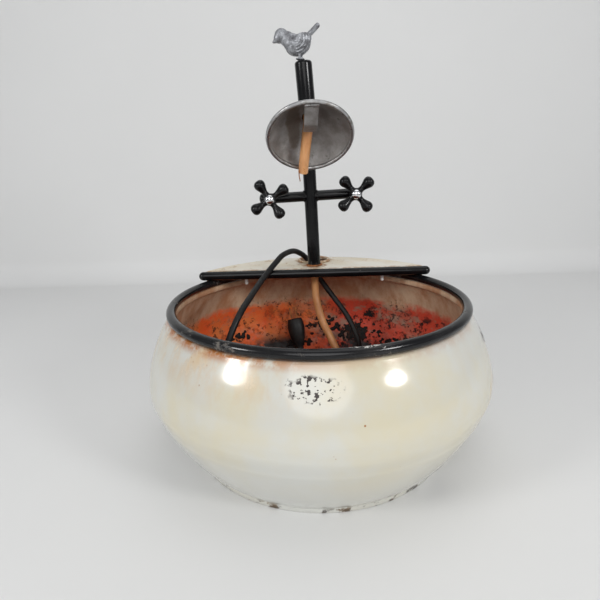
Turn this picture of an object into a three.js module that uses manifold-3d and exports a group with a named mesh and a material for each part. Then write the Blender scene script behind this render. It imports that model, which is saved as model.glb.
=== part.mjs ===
// Tabletop drinking-fountain ornament: an enamelled bowl that holds the water and a small pump,
// a lift-off half lid, and a tap stand with two cross handles, a shower-cone spout and a bird.
// Millimetres, +Z up, origin at the centre of the foot, front of the object towards -Y.
import * as THREE from "three";
import { mergeVertices } from "three/addons/utils/BufferGeometryUtils.js";
import Module from "manifold-3d";

const wasm = await Module();
wasm.setup();

// Driving dimensions
const GAP = 0.3;
const SHEET = 2;
const FOOT_RADIUS = 131.5;
const FOOT_HEIGHT = 5;
const FLOOR_Z = 5;
const CREASE = { radius: 168.5, z: 62 };
const RIM_RADIUS = 146;
const RIM_Z = 151.8;
const RIM_WIRE_RADIUS = 4.7;
const BOWL_TOP_Z = RIM_Z - RIM_WIRE_RADIUS - GAP;
const NECK_LIP = 6.5;
const BASE_SEAM_Z = 6.2;
const BOWL_SEGMENTS = 48;

const LID_RADIUS = 152;
const LID_SHEET = 1.6;
const LID_FRONT_Y = 74.5;
const LID_TRIM_RADIUS = 5.2;
const LID_TRIM_HALF_LENGTH = 135.6;
const LID_TRIM_Z = RIM_Z + RIM_WIRE_RADIUS + LID_TRIM_RADIUS + GAP;
const LID_TOP_Z = LID_TRIM_Z + 4.8;
const LID_UNDER_Z = LID_TOP_Z - LID_SHEET;
const CABLE_HOLE = { x: 1.5, y: 128, radius: 18 };

const POLE = { x: 0.7, y: 97 };
const POLE_LEAN = THREE.MathUtils.degToRad(-1.95);
const PIPE_RADIUS = 7.5;
const PIPE_BORE = 6;
const POLE_TOP = new THREE.Vector3(-5.1, 97, 336);
const ARM_Z = 360;
const ARM_REAR = new THREE.Vector3(-6.2, 73, ARM_Z);
const LEG_TOP = new THREE.Vector3(-9.3, -17, 368);
const BALL_CENTRE = new THREE.Vector3(-6.5, -14.6, 330.4);
const BALL_RADIUS = 9.5;
const CROSSBAR_HEIGHT = 82.7;
const CROSSBAR_RADIUS = 5.9;
const CROSSBAR_HALF_LENGTH = 57;
const TAP_OFFSETS = { left: -47, right: 51 };
const TAP_ANGLES = { left: 32, right: 40 };

const CONE_CENTRE = new THREE.Vector3(-5.4, -37, 307.6);
const CONE_RADIUS = 36.4;
const CONE_DEPTH = 26;
const CONE_TILT = THREE.MathUtils.degToRad(45.5);
const CONE_YAW = THREE.MathUtils.degToRad(2.9);

const PUMP = { x: 49, y: 66, z: 10, width: 62, depth: 48, height: 34, wall: 2.5 };
const HOSE_RADIUS = 4.5;
const CORD_RADIUS = 3.35;
const COIL = { x: -58, y: -42, inner: 27.4, outer: 47.6, height: 12.5 };

function paint(color, roughness, metalness = 0) {
  return new THREE.MeshStandardMaterial({ color, roughness, metalness });
}

const WHITE_ENAMEL = paint(0xeae6da, 0.25);
const BLACK_ENAMEL = paint(0x17181a, 0.3);
const CREAM_ENAMEL = paint(0xe2d8bf, 0.45);
const BLACK_PLASTIC = paint(0x1b1b1c, 0.5);
const BLACK_RUBBER = paint(0x141414, 0.8);
const GREY_STEEL = paint(0xa6a8aa, 0.35, 0.9);
const CHROME = paint(0xd5d7da, 0.15, 1);
const PEWTER = paint(0x9c9fa3, 0.4, 0.9);
const RUSTY_STEEL = paint(0x7a4a28, 0.85, 0.3);
const AMBER_VINYL = paint(0xc98a52, 0.4);
const WHITE_PLASTIC = paint(0xe8e8e2, 0.5);
const CERAMIC = paint(0xf2efe8, 0.3);
const MAGNET = paint(0x2a2a2d, 0.6);

const fountain = new THREE.Group();

// Mesh helpers

function add(name, geometry, material, parent = fountain) {
  const mesh = new THREE.Mesh(faceOutward(geometry), material);
  mesh.name = name;
  parent.add(mesh);
  return mesh;
}

function faceOutward(geometry) {
  const closed = merged(geometry);
  const place = closed.getAttribute("position");
  const index = closed.getIndex().array;
  const [a, b, c] = [new THREE.Vector3(), new THREE.Vector3(), new THREE.Vector3()];
  let volume = 0;
  for (let i = 0; i < index.length; i += 3) {
    a.fromBufferAttribute(place, index[i]);
    b.fromBufferAttribute(place, index[i + 1]);
    c.fromBufferAttribute(place, index[i + 2]);
    volume += a.dot(b.cross(c));
  }
  if (volume < 0) {
    for (let i = 0; i < index.length; i += 3) {
      [index[i], index[i + 1]] = [index[i + 1], index[i]];
    }
  }
  return closed;
}

function merged(geometry) {
  const bare = geometry.clone();
  bare.deleteAttribute("normal");
  bare.deleteAttribute("uv");
  const joined = mergeVertices(bare, 1e-4);
  const place = joined.getAttribute("position");
  const source = joined.getIndex().array;
  const kept = [];
  for (let i = 0; i < source.length; i += 3) {
    const [p, q, r] = [source[i], source[i + 1], source[i + 2]];
    if (p !== q && q !== r && r !== p) {
      kept.push(p, q, r);
    }
  }
  const clean = new THREE.BufferGeometry();
  clean.setAttribute("position", place);
  clean.setIndex(kept);
  return clean;
}

function solidOf(geometry) {
  const closed = faceOutward(geometry);
  const vertProperties = new Float32Array(closed.getAttribute("position").array);
  const triVerts = new Uint32Array(closed.getIndex().array);
  return new wasm.Manifold(new wasm.Mesh({ numProp: 3, vertProperties, triVerts }));
}

function geometryOf(solid) {
  const mesh = solid.getMesh();
  const geometry = new THREE.BufferGeometry();
  geometry.setAttribute("position", new THREE.BufferAttribute(new Float32Array(mesh.vertProperties), 3));
  geometry.setIndex([...mesh.triVerts]);
  return geometry;
}

function joinAll(geometries) {
  const solids = geometries.map(solidOf);
  return geometryOf(solids.reduce((whole, next) => whole.add(next)));
}

function cutAll(geometry, cutters) {
  return geometryOf(cutters.map(solidOf).reduce((whole, next) => whole.subtract(next), solidOf(geometry)));
}

// Shape helpers: every round piece stands along +Z before it is placed

function turned(profile, segments) {
  const points = profile.map(([radius, height]) => new THREE.Vector2(radius, height));
  return new THREE.LatheGeometry(points, segments).rotateX(Math.PI / 2);
}

function circleProfile(centreRadius, z, wireRadius, sides) {
  const profile = [];
  for (let i = 0; i <= sides; i += 1) {
    const angle = (2 * Math.PI * (i % sides)) / sides;
    profile.push([centreRadius + wireRadius * Math.cos(angle), z + wireRadius * Math.sin(angle)]);
  }
  return profile;
}

function rod(radius, low, high, segments = 20) {
  return turned([[0, low], [radius, low], [radius, high], [0, high]], segments);
}

function sleeve(bore, radius, low, high, segments = 20) {
  return turned([[bore, low], [radius, low], [radius, high], [bore, high], [bore, low]], segments);
}

function hexNut(acrossCorners, bore, low, high) {
  return cutAll(rod(acrossCorners / 2, low, high, 6), [rod(bore, low - 1, high + 1)]);
}

function block(width, depth, height, x, y, z) {
  return new THREE.BoxGeometry(width, depth, height).translate(x, y, z + height / 2);
}

function ball(radiusX, radiusY, radiusZ, x, y, z, segments = 14) {
  const sphere = new THREE.SphereGeometry(1, segments, Math.round(segments * 0.6));
  return sphere.scale(radiusX, radiusY, radiusZ).translate(x, y, z);
}

function between(start, end, makeAlongZ) {
  const direction = end.clone().sub(start);
  const turn = new THREE.Quaternion().setFromUnitVectors(
    new THREE.Vector3(0, 0, 1),
    direction.clone().normalize(),
  );
  return makeAlongZ(direction.length()).applyQuaternion(turn).translate(start.x, start.y, start.z);
}

function circleShape(radius, sides, bore = 0) {
  const shape = new THREE.Shape(ringPoints(radius, sides));
  if (bore > 0) {
    shape.holes.push(new THREE.Path(ringPoints(bore, sides)));
  }
  return shape;
}

function ringPoints(radius, sides) {
  return Array.from({ length: sides }, (_, i) => {
    const angle = (2 * Math.PI * i) / sides;
    return new THREE.Vector2(radius * Math.cos(angle), radius * Math.sin(angle));
  });
}

function tubeAlong(curve, radius, steps, sides = 8, bore = 0) {
  return new THREE.ExtrudeGeometry(circleShape(radius, sides, bore), {
    steps,
    bevelEnabled: false,
    extrudePath: curve,
  });
}

function smoothRoute(points) {
  return new THREE.CatmullRomCurve3(points, false, "centripetal");
}

function route(coordinates) {
  return smoothRoute(coordinates.map(([x, y, z]) => new THREE.Vector3(x, y, z)));
}

// Bowl and rolled rim

function bowlOutline() {
  const lower = new THREE.QuadraticBezierCurve(
    new THREE.Vector2(FOOT_RADIUS, FOOT_HEIGHT),
    new THREE.Vector2(150, 22),
    new THREE.Vector2(CREASE.radius, CREASE.z),
  ).getPoints(3);
  const upper = new THREE.SplineCurve([
    new THREE.Vector2(CREASE.radius, CREASE.z),
    new THREE.Vector2(173.4, 80),
    new THREE.Vector2(169.8, 103),
    new THREE.Vector2(160.8, 127),
    new THREE.Vector2(149.2, BOWL_TOP_Z),
  ]).getPoints(6);
  return [...lower, ...upper.slice(1)].map((point) => [point.x, point.y]);
}

// The bowl is three nodes that meet at a hairline, so that each can be hulled on its own.
function baseProfile(outline) {
  const [seamRadius, seamZ] = atHeight(outline, BASE_SEAM_Z);
  return [
    [0, FLOOR_Z - SHEET],
    [FOOT_RADIUS - 4.5, FLOOR_Z - SHEET],
    [FOOT_RADIUS - 3, 0],
    [FOOT_RADIUS, 0],
    [FOOT_RADIUS, FOOT_HEIGHT],
    [seamRadius, seamZ],
    [seamRadius - SHEET, seamZ],
    [FOOT_RADIUS - 4, FLOOR_Z],
    [0, FLOOR_Z],
  ];
}

function wallProfile(outline, low, high) {
  const cut = outline.filter(([, z]) => z > low && z < high);
  const outer = [atHeight(outline, low), ...cut, atHeight(outline, high)];
  const inner = outer.map(([radius, z]) => [radius - SHEET, z]).reverse();
  return closed([...outer, ...inner]);
}

function closed(profile) {
  return [...profile, profile[0]];
}

function atHeight(outline, z) {
  const next = outline.findIndex(([, height]) => height >= z);
  const [[lowRadius, lowZ], [highRadius, highZ]] = [outline[next - 1], outline[next]];
  const share = (z - lowZ) / (highZ - lowZ);
  return [lowRadius + (highRadius - lowRadius) * share, z];
}

function neckProfile(outline) {
  const neckRadius = RIM_RADIUS - 1.7;
  const seam = CREASE.z + GAP;
  const outer = [atHeight(outline, seam), ...outline.filter(([, z]) => z > seam)];
  const inner = outer.slice(0, -1).reverse().map(([radius, z]) => [radius - SHEET, z]);
  return closed([...outer, [neckRadius, BOWL_TOP_Z], [neckRadius, BOWL_TOP_Z - NECK_LIP], ...inner]);
}

function makeBowl() {
  const outline = bowlOutline();
  const lowerWall = wallProfile(outline, BASE_SEAM_Z + GAP, CREASE.z);
  add("basin_base", turned(baseProfile(outline), BOWL_SEGMENTS), WHITE_ENAMEL);
  add("basin_lower_wall", turned(lowerWall, BOWL_SEGMENTS), WHITE_ENAMEL);
  add("basin_shoulder", turned(neckProfile(outline), BOWL_SEGMENTS), WHITE_ENAMEL);
  add("rim_bead", turned(circleProfile(RIM_RADIUS, RIM_Z, RIM_WIRE_RADIUS, 8), BOWL_SEGMENTS), BLACK_ENAMEL);
}

// Half lid with its rolled front edge

function lidSegment(radius, frontY) {
  const start = Math.asin(frontY / radius);
  const shape = new THREE.Shape();
  shape.absarc(0, 0, radius, start, Math.PI - start, false);
  shape.closePath();
  return shape;
}

function extruded(shape, low, high, curveSegments = 20) {
  const options = { depth: high - low, bevelEnabled: false, curveSegments };
  return new THREE.ExtrudeGeometry(shape, options).translate(0, 0, low);
}

function lidSkirt() {
  const outer = extruded(lidSegment(LID_RADIUS, 81), LID_UNDER_Z - 10.6, LID_UNDER_Z + 0.5);
  const inner = extruded(lidSegment(LID_RADIUS - LID_SHEET, 70), LID_UNDER_Z - 12, LID_UNDER_Z + 2);
  return cutAll(outer, [inner]);
}

function makeLid() {
  const frontY = LID_FRONT_Y + 4.7;
  const plate = extruded(lidSegment(LID_RADIUS, frontY), LID_UNDER_Z, LID_TOP_Z);
  const { x, y, radius } = CABLE_HOLE;
  const holes = [
    rod(radius, LID_UNDER_Z - 1, LID_TOP_Z + 1).translate(x, y, 0),
    rod(PIPE_RADIUS + GAP, LID_UNDER_Z - 1, LID_TOP_Z + 1, 16).translate(POLE.x, POLE.y, 0),
  ];
  add("lid_plate", cutAll(joinAll([plate, lidSkirt()]), holes), CREAM_ENAMEL);
  const trim = new THREE.CapsuleGeometry(LID_TRIM_RADIUS, 2 * (LID_TRIM_HALF_LENGTH - LID_TRIM_RADIUS), 4, 12);
  trim.rotateZ(Math.PI / 2).translate(0, LID_FRONT_Y, LID_TRIM_Z);
  add("lid_front_roll", trim, BLACK_ENAMEL);
  add(
    "cable_hole_collar",
    sleeve(radius - 1.4, radius + 2.5, LID_TOP_Z + GAP, LID_TOP_Z + 2.3).translate(x, y, 0),
    CREAM_ENAMEL,
  );
  const pegs = { left: -81.5, right: 81.5 };
  for (const [side, pegX] of Object.entries(pegs)) {
    const peg = turned([[0, 148], [1.6, 148.6], [2, 149.5], [2, LID_UNDER_Z - GAP], [0, LID_UNDER_Z - GAP]], 12);
    add(`lid_${side}_locating_peg`, peg.translate(pegX, 85, 0), WHITE_PLASTIC);
  }
}

// Tap stand: the pole, crossbar and two taps share a leaning group whose origin is the pole's foot

const stand = new THREE.Group();
stand.position.set(POLE.x, POLE.y, LID_TOP_Z);
stand.rotation.y = POLE_LEAN;
fountain.add(stand);

function makePole() {
  const low = LID_UNDER_Z - LID_TOP_Z - 9;
  const high = POLE_TOP.z - LID_TOP_Z;
  add("pole_tube", sleeve(PIPE_BORE, PIPE_RADIUS, low, high, 16), BLACK_ENAMEL, stand);
  add("pole_top_washer", sleeve(PIPE_RADIUS + GAP, 9.9, 0.4, 1.6), RUSTY_STEEL, stand);
  add("pole_lock_nut", hexNut(26, PIPE_RADIUS + GAP, low + 1, low + 6), RUSTY_STEEL, stand);
}

function makeCrossbar() {
  for (const side of [-1, 1]) {
    const name = side < 0 ? "left" : "right";
    const bar = rod(CROSSBAR_RADIUS, 0, CROSSBAR_HALF_LENGTH, 14);
    bar.rotateY((side * Math.PI) / 2).translate(0, 0, CROSSBAR_HEIGHT);
    const pole = rod(PIPE_RADIUS + GAP, CROSSBAR_HEIGHT - 20, CROSSBAR_HEIGHT + 20, 16);
    add(`crossbar_${name}`, cutAll(bar, [pole]), BLACK_ENAMEL, stand);
    const cap = turned([[0, 0], [5.2, 0], [4.6, 1.8], [2.6, 3], [0, 3.4]], 14);
    cap.rotateY((side * Math.PI) / 2);
    cap.translate(side * (CROSSBAR_HALF_LENGTH + GAP), 0, CROSSBAR_HEIGHT);
    add(`crossbar_${name}_cap`, cap, BLACK_ENAMEL, stand);
  }
}

function crossHandle(startAngle) {
  const hub = turned([[0, -3.5], [6, -3.5], [7, -2.4], [7, 2.4], [6, 3.5], [0, 3.5]], 12);
  const armProfile = [[0, 2], [3.8, 2], [3.4, 9], [4.7, 13], [6.3, 17.6], [6.1, 21.4], [3.8, 24], [0, 24.8]];
  const arms = [0, 1, 2, 3].map((quarter) => {
    const arm = turned(armProfile, 8).rotateY(Math.PI / 2);
    return arm.rotateZ(THREE.MathUtils.degToRad(startAngle + 90 * quarter));
  });
  return cutAll(joinAll([hub, ...arms]), [rod(2.6, -10, 10, 10)]);
}

function makeTap(side) {
  const tap = new THREE.Group();
  tap.position.set(TAP_OFFSETS[side], -CROSSBAR_RADIUS - GAP, CROSSBAR_HEIGHT);
  tap.rotation.x = Math.PI / 2;
  stand.add(tap);
  const stem = turned([[0, 0], [4, 0], [4, 7], [2.3, 7], [2.3, 13.2], [0, 13.2]], 14);
  add(`${side}_tap_stem`, stem, BLACK_ENAMEL, tap);
  add(`${side}_tap_washer`, sleeve(4.3, 6.6, 3.4, 5.2, 16), BLACK_RUBBER, tap);
  const handle = crossHandle(TAP_ANGLES[side]).translate(0, 0, 10.9);
  add(`${side}_cross_handle`, handle, BLACK_ENAMEL, tap);
  const screw = turned([[0, 14.7], [5.4, 14.7], [5.4, 15.6], [4.4, 17.4], [2.4, 18.6], [0, 19]], 14);
  add(`${side}_handle_screw`, screw, CHROME, tap);
}

// Pipe from the pole over to the spout leg

function makeSpoutPipes() {
  const corner = new THREE.Vector3(-5.9, 97, ARM_Z);
  const elbowStart = POLE_TOP.clone().add(new THREE.Vector3(-0.01, 0, GAP));
  const elbow = new THREE.QuadraticBezierCurve3(elbowStart, corner, ARM_REAR);
  add("rear_elbow", tubeAlong(elbow, PIPE_RADIUS, 6, 12, PIPE_BORE), BLACK_ENAMEL);

  const legAxis = LEG_TOP.clone().sub(BALL_CENTRE).normalize();
  const legLow = BALL_CENTRE.clone().addScaledVector(legAxis, 8.1);
  const armFront = BALL_CENTRE.clone().lerp(LEG_TOP, (ARM_Z - BALL_CENTRE.z) / (LEG_TOP.z - BALL_CENTRE.z));
  const armDirection = armFront.clone().sub(ARM_REAR).normalize();
  const armStart = ARM_REAR.clone().addScaledVector(armDirection, GAP);
  const armPipe = between(armStart, armFront, (length) => sleeve(PIPE_BORE, PIPE_RADIUS, 0, length, 14));
  const legEnvelope = between(legLow, LEG_TOP, (length) => rod(PIPE_RADIUS + GAP, -20, length + 20, 20));
  add("arm_tube", cutAll(armPipe, [legEnvelope]), BLACK_ENAMEL);

  const leg = between(legLow, LEG_TOP, (length) => sleeve(PIPE_BORE, PIPE_RADIUS, 0, length, 16));
  const sideBore = between(ARM_REAR, armFront, (length) => rod(PIPE_BORE - 0.2, length - 20, length, 14));
  add("spout_leg_tube", cutAll(leg, [sideBore]), BLACK_ENAMEL);
  const capProfile = [[0, GAP], [PIPE_RADIUS, GAP], [PIPE_RADIUS, 1.2], [6.3, 2.6], [3.6, 3.2], [0, 3.4]];
  add("spout_leg_cap", between(LEG_TOP, LEG_TOP.clone().add(legAxis), () => turned(capProfile, 16)), BLACK_ENAMEL);
}

// Shower-cone spout in its own frame: x to the right, y up the mouth, z out of the mouth

const spout = new THREE.Group();
const spoutOut = new THREE.Vector3(
  Math.sin(CONE_YAW) * Math.cos(CONE_TILT),
  -Math.cos(CONE_YAW) * Math.cos(CONE_TILT),
  -Math.sin(CONE_TILT),
);
const spoutUp = new THREE.Vector3(0, 0, 1).addScaledVector(spoutOut, -spoutOut.z).normalize();
const spoutRight = new THREE.Vector3().crossVectors(spoutUp, spoutOut);
spout.quaternion.setFromRotationMatrix(new THREE.Matrix4().makeBasis(spoutRight, spoutUp, spoutOut));
spout.position.copy(CONE_CENTRE);
fountain.add(spout);

function atSpout(x, y, z) {
  return CONE_CENTRE.clone()
    .addScaledVector(spoutRight, x)
    .addScaledVector(spoutUp, y)
    .addScaledVector(spoutOut, z);
}

function makeSpoutBall() {
  const legAxis = LEG_TOP.clone().sub(BALL_CENTRE).normalize();
  const bore = HOSE_RADIUS + 1.2;
  const { x, y, z } = BALL_CENTRE;
  const upperBore = between(BALL_CENTRE, BALL_CENTRE.clone().add(legAxis), () => rod(bore, 0, 20, 10));
  const lowerBore = between(BALL_CENTRE, BALL_CENTRE.clone().add(spoutOut), () => rod(bore, 0, 20, 10));
  const middle = ball(bore, bore, bore, x, y, z, 10);
  const legFace = between(BALL_CENTRE, BALL_CENTRE.clone().add(legAxis), () => rod(12, 8.1 - GAP, 20, 14));
  const coneBack = atSpout(0, 0, -CONE_DEPTH - GAP);
  const coneFace = between(coneBack, coneBack.clone().add(spoutOut), () => rod(14, 0, 12, 14));
  const joint = ball(BALL_RADIUS, BALL_RADIUS, BALL_RADIUS, x, y, z, 14);
  add("spout_ball_joint", cutAll(joint, [upperBore, lowerBore, middle, legFace, coneFace]), BLACK_ENAMEL);
}

function makeShowerCone() {
  const sheet = 1.2;
  const back = [[5.3, -CONE_DEPTH], [10, -25.4], [19, -18.6], [28, -10.6], [CONE_RADIUS, -2.3]];
  const front = back.slice(0, -1).reverse().map(([radius, z]) => [radius, z + sheet * 1.3]);
  const profile = [...back, [CONE_RADIUS - sheet, -2.3], ...front, back[0]];
  add("shower_cone", turned(profile, 32), GREY_STEEL, spout);
  add("shower_cone_rim", turned(circleProfile(CONE_RADIUS, 0, 1.9, 6), 32), GREY_STEEL, spout);
}

function makeStrap() {
  const shape = new THREE.Shape([
    new THREE.Vector2(33.9, -0.8),
    new THREE.Vector2(33.9, 0.4),
    new THREE.Vector2(14, 1.6),
    new THREE.Vector2(2, -4.2),
    new THREE.Vector2(2.6, -5.3),
    new THREE.Vector2(14.2, 0.3),
  ]);
  const strap = new THREE.ExtrudeGeometry(shape, { depth: 11.4, bevelEnabled: false });
  const axes = new THREE.Matrix4().makeBasis(
    new THREE.Vector3(0, 1, 0),
    new THREE.Vector3(0, 0, 1),
    new THREE.Vector3(1, 0, 0),
  );
  add("hose_strap", strap.applyMatrix4(axes).translate(-5.7, 0, 0), GREY_STEEL, spout);
}

// Bird on the spout leg

function makeBird() {
  const perchZ = LEG_TOP.z + 3.4 + GAP;
  const body = ball(11.2, 7.6, 8.6, 0, 0, 0, 12).rotateY(-0.3).translate(-13.4, -18, perchZ + 11.6);
  const neck = ball(6.8, 6, 6.2, -22, -18, perchZ + 16.2, 10);
  const head = ball(6.1, 5.7, 5.9, -27.6, -18, perchZ + 19.2, 10);
  const beak = new THREE.ConeGeometry(2.8, 8, 10).rotateZ(Math.PI / 2).rotateY(-0.62);
  beak.translate(-32.4, -18, perchZ + 15.9);
  const tail = block(19, 5.6, 4.4, 0, 0, -2.2).rotateY(-0.74).translate(-2.2, -18, perchZ + 21);
  const legs = [-20.3, -15.7].map((y) => rod(0.9, 0, 6, 8).translate(-11.2, y, perchZ));
  const feet = [-20.3, -15.7].map((y) => block(7, 2, 1, -11.4, y, perchZ));
  const wings = [-1, 1].map((side) => {
    const wing = ball(9, 1.6, 5.4, 0, 0, 0, 10).rotateY(-0.45);
    return wing.translate(-10.4, -18 + side * 7, perchZ + 13.8);
  });
  const perch = rod(3.4, 0, 1.2, 12).translate(-11.4, -18, perchZ);
  add("bird_finial", joinAll([body, neck, head, beak, tail, perch, ...legs, ...feet, ...wings]), PEWTER);
}

// Submersible pump under the water line

function makePump() {
  const { x, y, z, width, depth, height, wall } = PUMP;
  const frontY = y - depth / 2;
  const shell = block(width, depth - 4, height, x, y + 2, z);
  const chamberX = x + 12;
  const chamberZ = z + height / 2;
  const chamber = rod(12, 0, 34, 24).rotateX(Math.PI / 2).translate(chamberX, frontY + 34, chamberZ);
  const outletX = x - 22;
  const outletBore = rod(3, chamberZ, z + height + 2, 12).translate(outletX, y, 0);
  const channel = rod(3, outletX, chamberX, 12).rotateY(Math.PI / 2).translate(0, y, chamberZ);
  add("pump_housing", cutAll(shell, [chamber, outletBore, channel]), BLACK_PLASTIC);

  const slots = [-18, -10, -2, 6, 14, 22].map((offset) => block(3, 8, height - 10, x + offset, frontY + 2, z + 5));
  add("pump_intake_cover", cutAll(block(width, 4 - GAP, height, x, frontY + 2 - GAP / 2, z), slots), BLACK_PLASTIC);

  const rotor = rod(8, 8, 28, 16);
  const blades = [0, 1, 2].map((third) => block(20, 1.6, 5.4, 0, 0, 2.8).rotateZ((third * Math.PI) / 3));
  const impeller = cutAll(joinAll([rotor, ...blades]), [rod(1.7, 0, 30, 12)]);
  const faceForward = (geometry) => geometry.rotateX(-Math.PI / 2).translate(chamberX, frontY + 4.5, chamberZ);
  add("pump_impeller", faceForward(impeller), MAGNET);
  add("pump_shaft", faceForward(rod(1.5, 1, 29, 12)), CERAMIC);
  const outlet = sleeve(2.6, HOSE_RADIUS, z + height + GAP, z + height + 8, 14).translate(outletX, y, 0);
  add("pump_outlet", outlet, BLACK_PLASTIC);

  const dial = joinAll([rod(5.5, 0, 3, 16), block(1.8, 9, 2.4, 0, 0, 2.6)]);
  add("pump_flow_dial", dial.rotateY(-Math.PI / 2).translate(x - width / 2 - GAP, y + 8, chamberZ), BLACK_PLASTIC);

  for (const [side, offsetX] of [["left", -22], ["right", 22]]) {
    for (const [end, offsetY] of [["front", -14], ["rear", 16]]) {
      const cup = turned([[0, 4.4], [6.5, 0], [7.6, 0], [3, 4.6], [0, 4.6]], 14);
      cup.translate(x + offsetX, y + offsetY, FLOOR_Z + GAP);
      add(`${end}_${side}_suction_cup`, cup, BLACK_RUBBER);
    }
  }
}

// Water hose: from the pump to the pole's foot, and on through the pipes to the spout

function makeHose() {
  const hoseStart = PUMP.z + PUMP.height + 8 + GAP;
  const lower = route([
    [27, 66, hoseStart],
    [27, 66, hoseStart + 5],
    [25, 68.5, 66],
    [18, 76, 81],
    [8.5, 86, 100],
    [2.4, 94, 124],
    [1.1, 97, 142],
    [1, 97, LID_UNDER_Z - 10],
  ]);
  add("hose_lower", tubeAlong(lower, HOSE_RADIUS, 12), AMBER_VINYL);

  const footLean = Math.tan(POLE_LEAN);
  const onPole = (z) => new THREE.Vector3(POLE.x + footLean * (z - LID_TOP_Z), POLE.y, z);
  const corner = new THREE.QuadraticBezierCurve3(onPole(POLE_TOP.z), new THREE.Vector3(-5.9, 97, ARM_Z), ARM_REAR);
  const legAxis = LEG_TOP.clone().sub(BALL_CENTRE).normalize();
  const bend = BALL_CENTRE.clone().addScaledVector(legAxis, (ARM_Z - BALL_CENTRE.z) / legAxis.z);
  const armAxis = bend.clone().sub(ARM_REAR).normalize();
  const bendIn = bend.clone().addScaledVector(armAxis, -8);
  const bendOut = bend.clone().addScaledVector(legAxis, -8);
  const upper = new THREE.CurvePath();
  const ballIn = BALL_CENTRE.clone().addScaledVector(legAxis, 8);
  const ballOut = BALL_CENTRE.clone().addScaledVector(spoutOut, 7);
  upper.add(new THREE.LineCurve3(onPole(LID_UNDER_Z - 9.5), onPole(POLE_TOP.z)));
  upper.add(corner);
  upper.add(new THREE.LineCurve3(ARM_REAR, bendIn));
  upper.add(new THREE.QuadraticBezierCurve3(bendIn, bend, bendOut));
  upper.add(new THREE.LineCurve3(bendOut, ballIn));
  upper.add(new THREE.QuadraticBezierCurve3(ballIn, BALL_CENTRE, ballOut));
  upper.add(smoothRoute([
    ballOut,
    atSpout(0, -0.4, -19),
    atSpout(-1.4, -4, -11),
    atSpout(-3, -13, -3.5),
    atSpout(-4.4, -23, 2.8),
    atSpout(-5.4, -34, 7.4),
  ]));
  add("hose_upper", tubeAlong(upper, HOSE_RADIUS, 76), AMBER_VINYL);
}

// Mains lead: up from the pump, through the lid, over its front edge and down to the coil and plug

const CORD_OVER_LID = [
  [54, 84, 64.6],
  [54, 84, 70],
  [50, 88.5, 82],
  [40, 99, 102],
  [20, 114, 128],
  [4, 124, 150],
  [-4, 125, 163],
  [-8.5, 122, 171],
  [-15, 115.5, 178],
  [-24.9, 105, 183.6],
  [-36.8, 90, 181.8],
  [-45, 79, 175.2],
  [-53, 66, 168],
  [-62, 46, 159.5],
  [-71, 15, 151],
  [-79.5, -8, 141],
  [-88, -22, 124],
  [-96, -31, 100],
  [-101, -37, 70],
  [-100, -41.5, 44],
  [-99.5, -42, 30],
  [-99.5, -42, 18.2],
];
const CORD_TO_PLUG = [
  [-6.6, -42, 8.7],
  [-6.6, -24, 8.7],
  [-9, 0, 8.7],
  [-14, 30, 8.7],
  [-19, 62, 8.7],
  [-20, 90, 8.8],
  [-19.4, 102, 9.8],
  [-18.4, 113, 13],
  [-17.4, 122, 18],
  [-16.9, 128.6, 25.4],
  [-17.7, 131.2, 31.1],
];

function makeCord() {
  const relief = turned([[0, 0], [5.6, 0], [5.2, 3], [4, 20], [0, 20]], 12);
  add("cord_strain_relief", relief.translate(54, 84, PUMP.z + PUMP.height + GAP), BLACK_RUBBER);
  const overLid = route(CORD_OVER_LID);
  add("cord_over_lid", tubeAlong(overLid, CORD_RADIUS, 30), BLACK_RUBBER);
  const { x, y, inner, outer, height } = COIL;
  add("cord_coil", sleeve(inner, outer, FLOOR_Z + GAP, FLOOR_Z + GAP + height, 32).translate(x, y, 0), BLACK_RUBBER);
  add("cord_to_plug", tubeAlong(route(CORD_TO_PLUG), CORD_RADIUS, 16), BLACK_RUBBER);
}

function makePlug() {
  const plug = new THREE.Group();
  plug.position.set(-17.8, 131.4, 31.6);
  const axis = new THREE.Vector3(-8.5, 18, 50).normalize();
  plug.quaternion.setFromUnitVectors(new THREE.Vector3(0, 0, 1), axis);
  fountain.add(plug);
  const body = turned([[0, 0], [4.4, 0], [5.4, 14], [10.2, 30], [11.4, 44], [9.6, 54], [0, 54]], 16).scale(1, 0.68, 1);
  add("plug_body", body, BLACK_RUBBER, plug);
  for (const [name, x] of [["left", -4], ["right", 4]]) {
    add(`plug_${name}_prong`, block(1.6, 6, 15, x, 0, 54 + GAP), RUSTY_STEEL, plug);
  }
}

makeBowl();
makeLid();
makePole();
makeCrossbar();
makeTap("left");
makeTap("right");
makeSpoutPipes();
makeSpoutBall();
makeShowerCone();
makeStrap();
makeBird();
makePump();
makeHose();
makeCord();
makePlug();

export default fountain;
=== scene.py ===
"""Looks for the tabletop drinking fountain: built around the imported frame, in metres."""

import math
import random
from functools import reduce

import bmesh
import bpy
from mathutils import Matrix, Vector, noise


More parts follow.
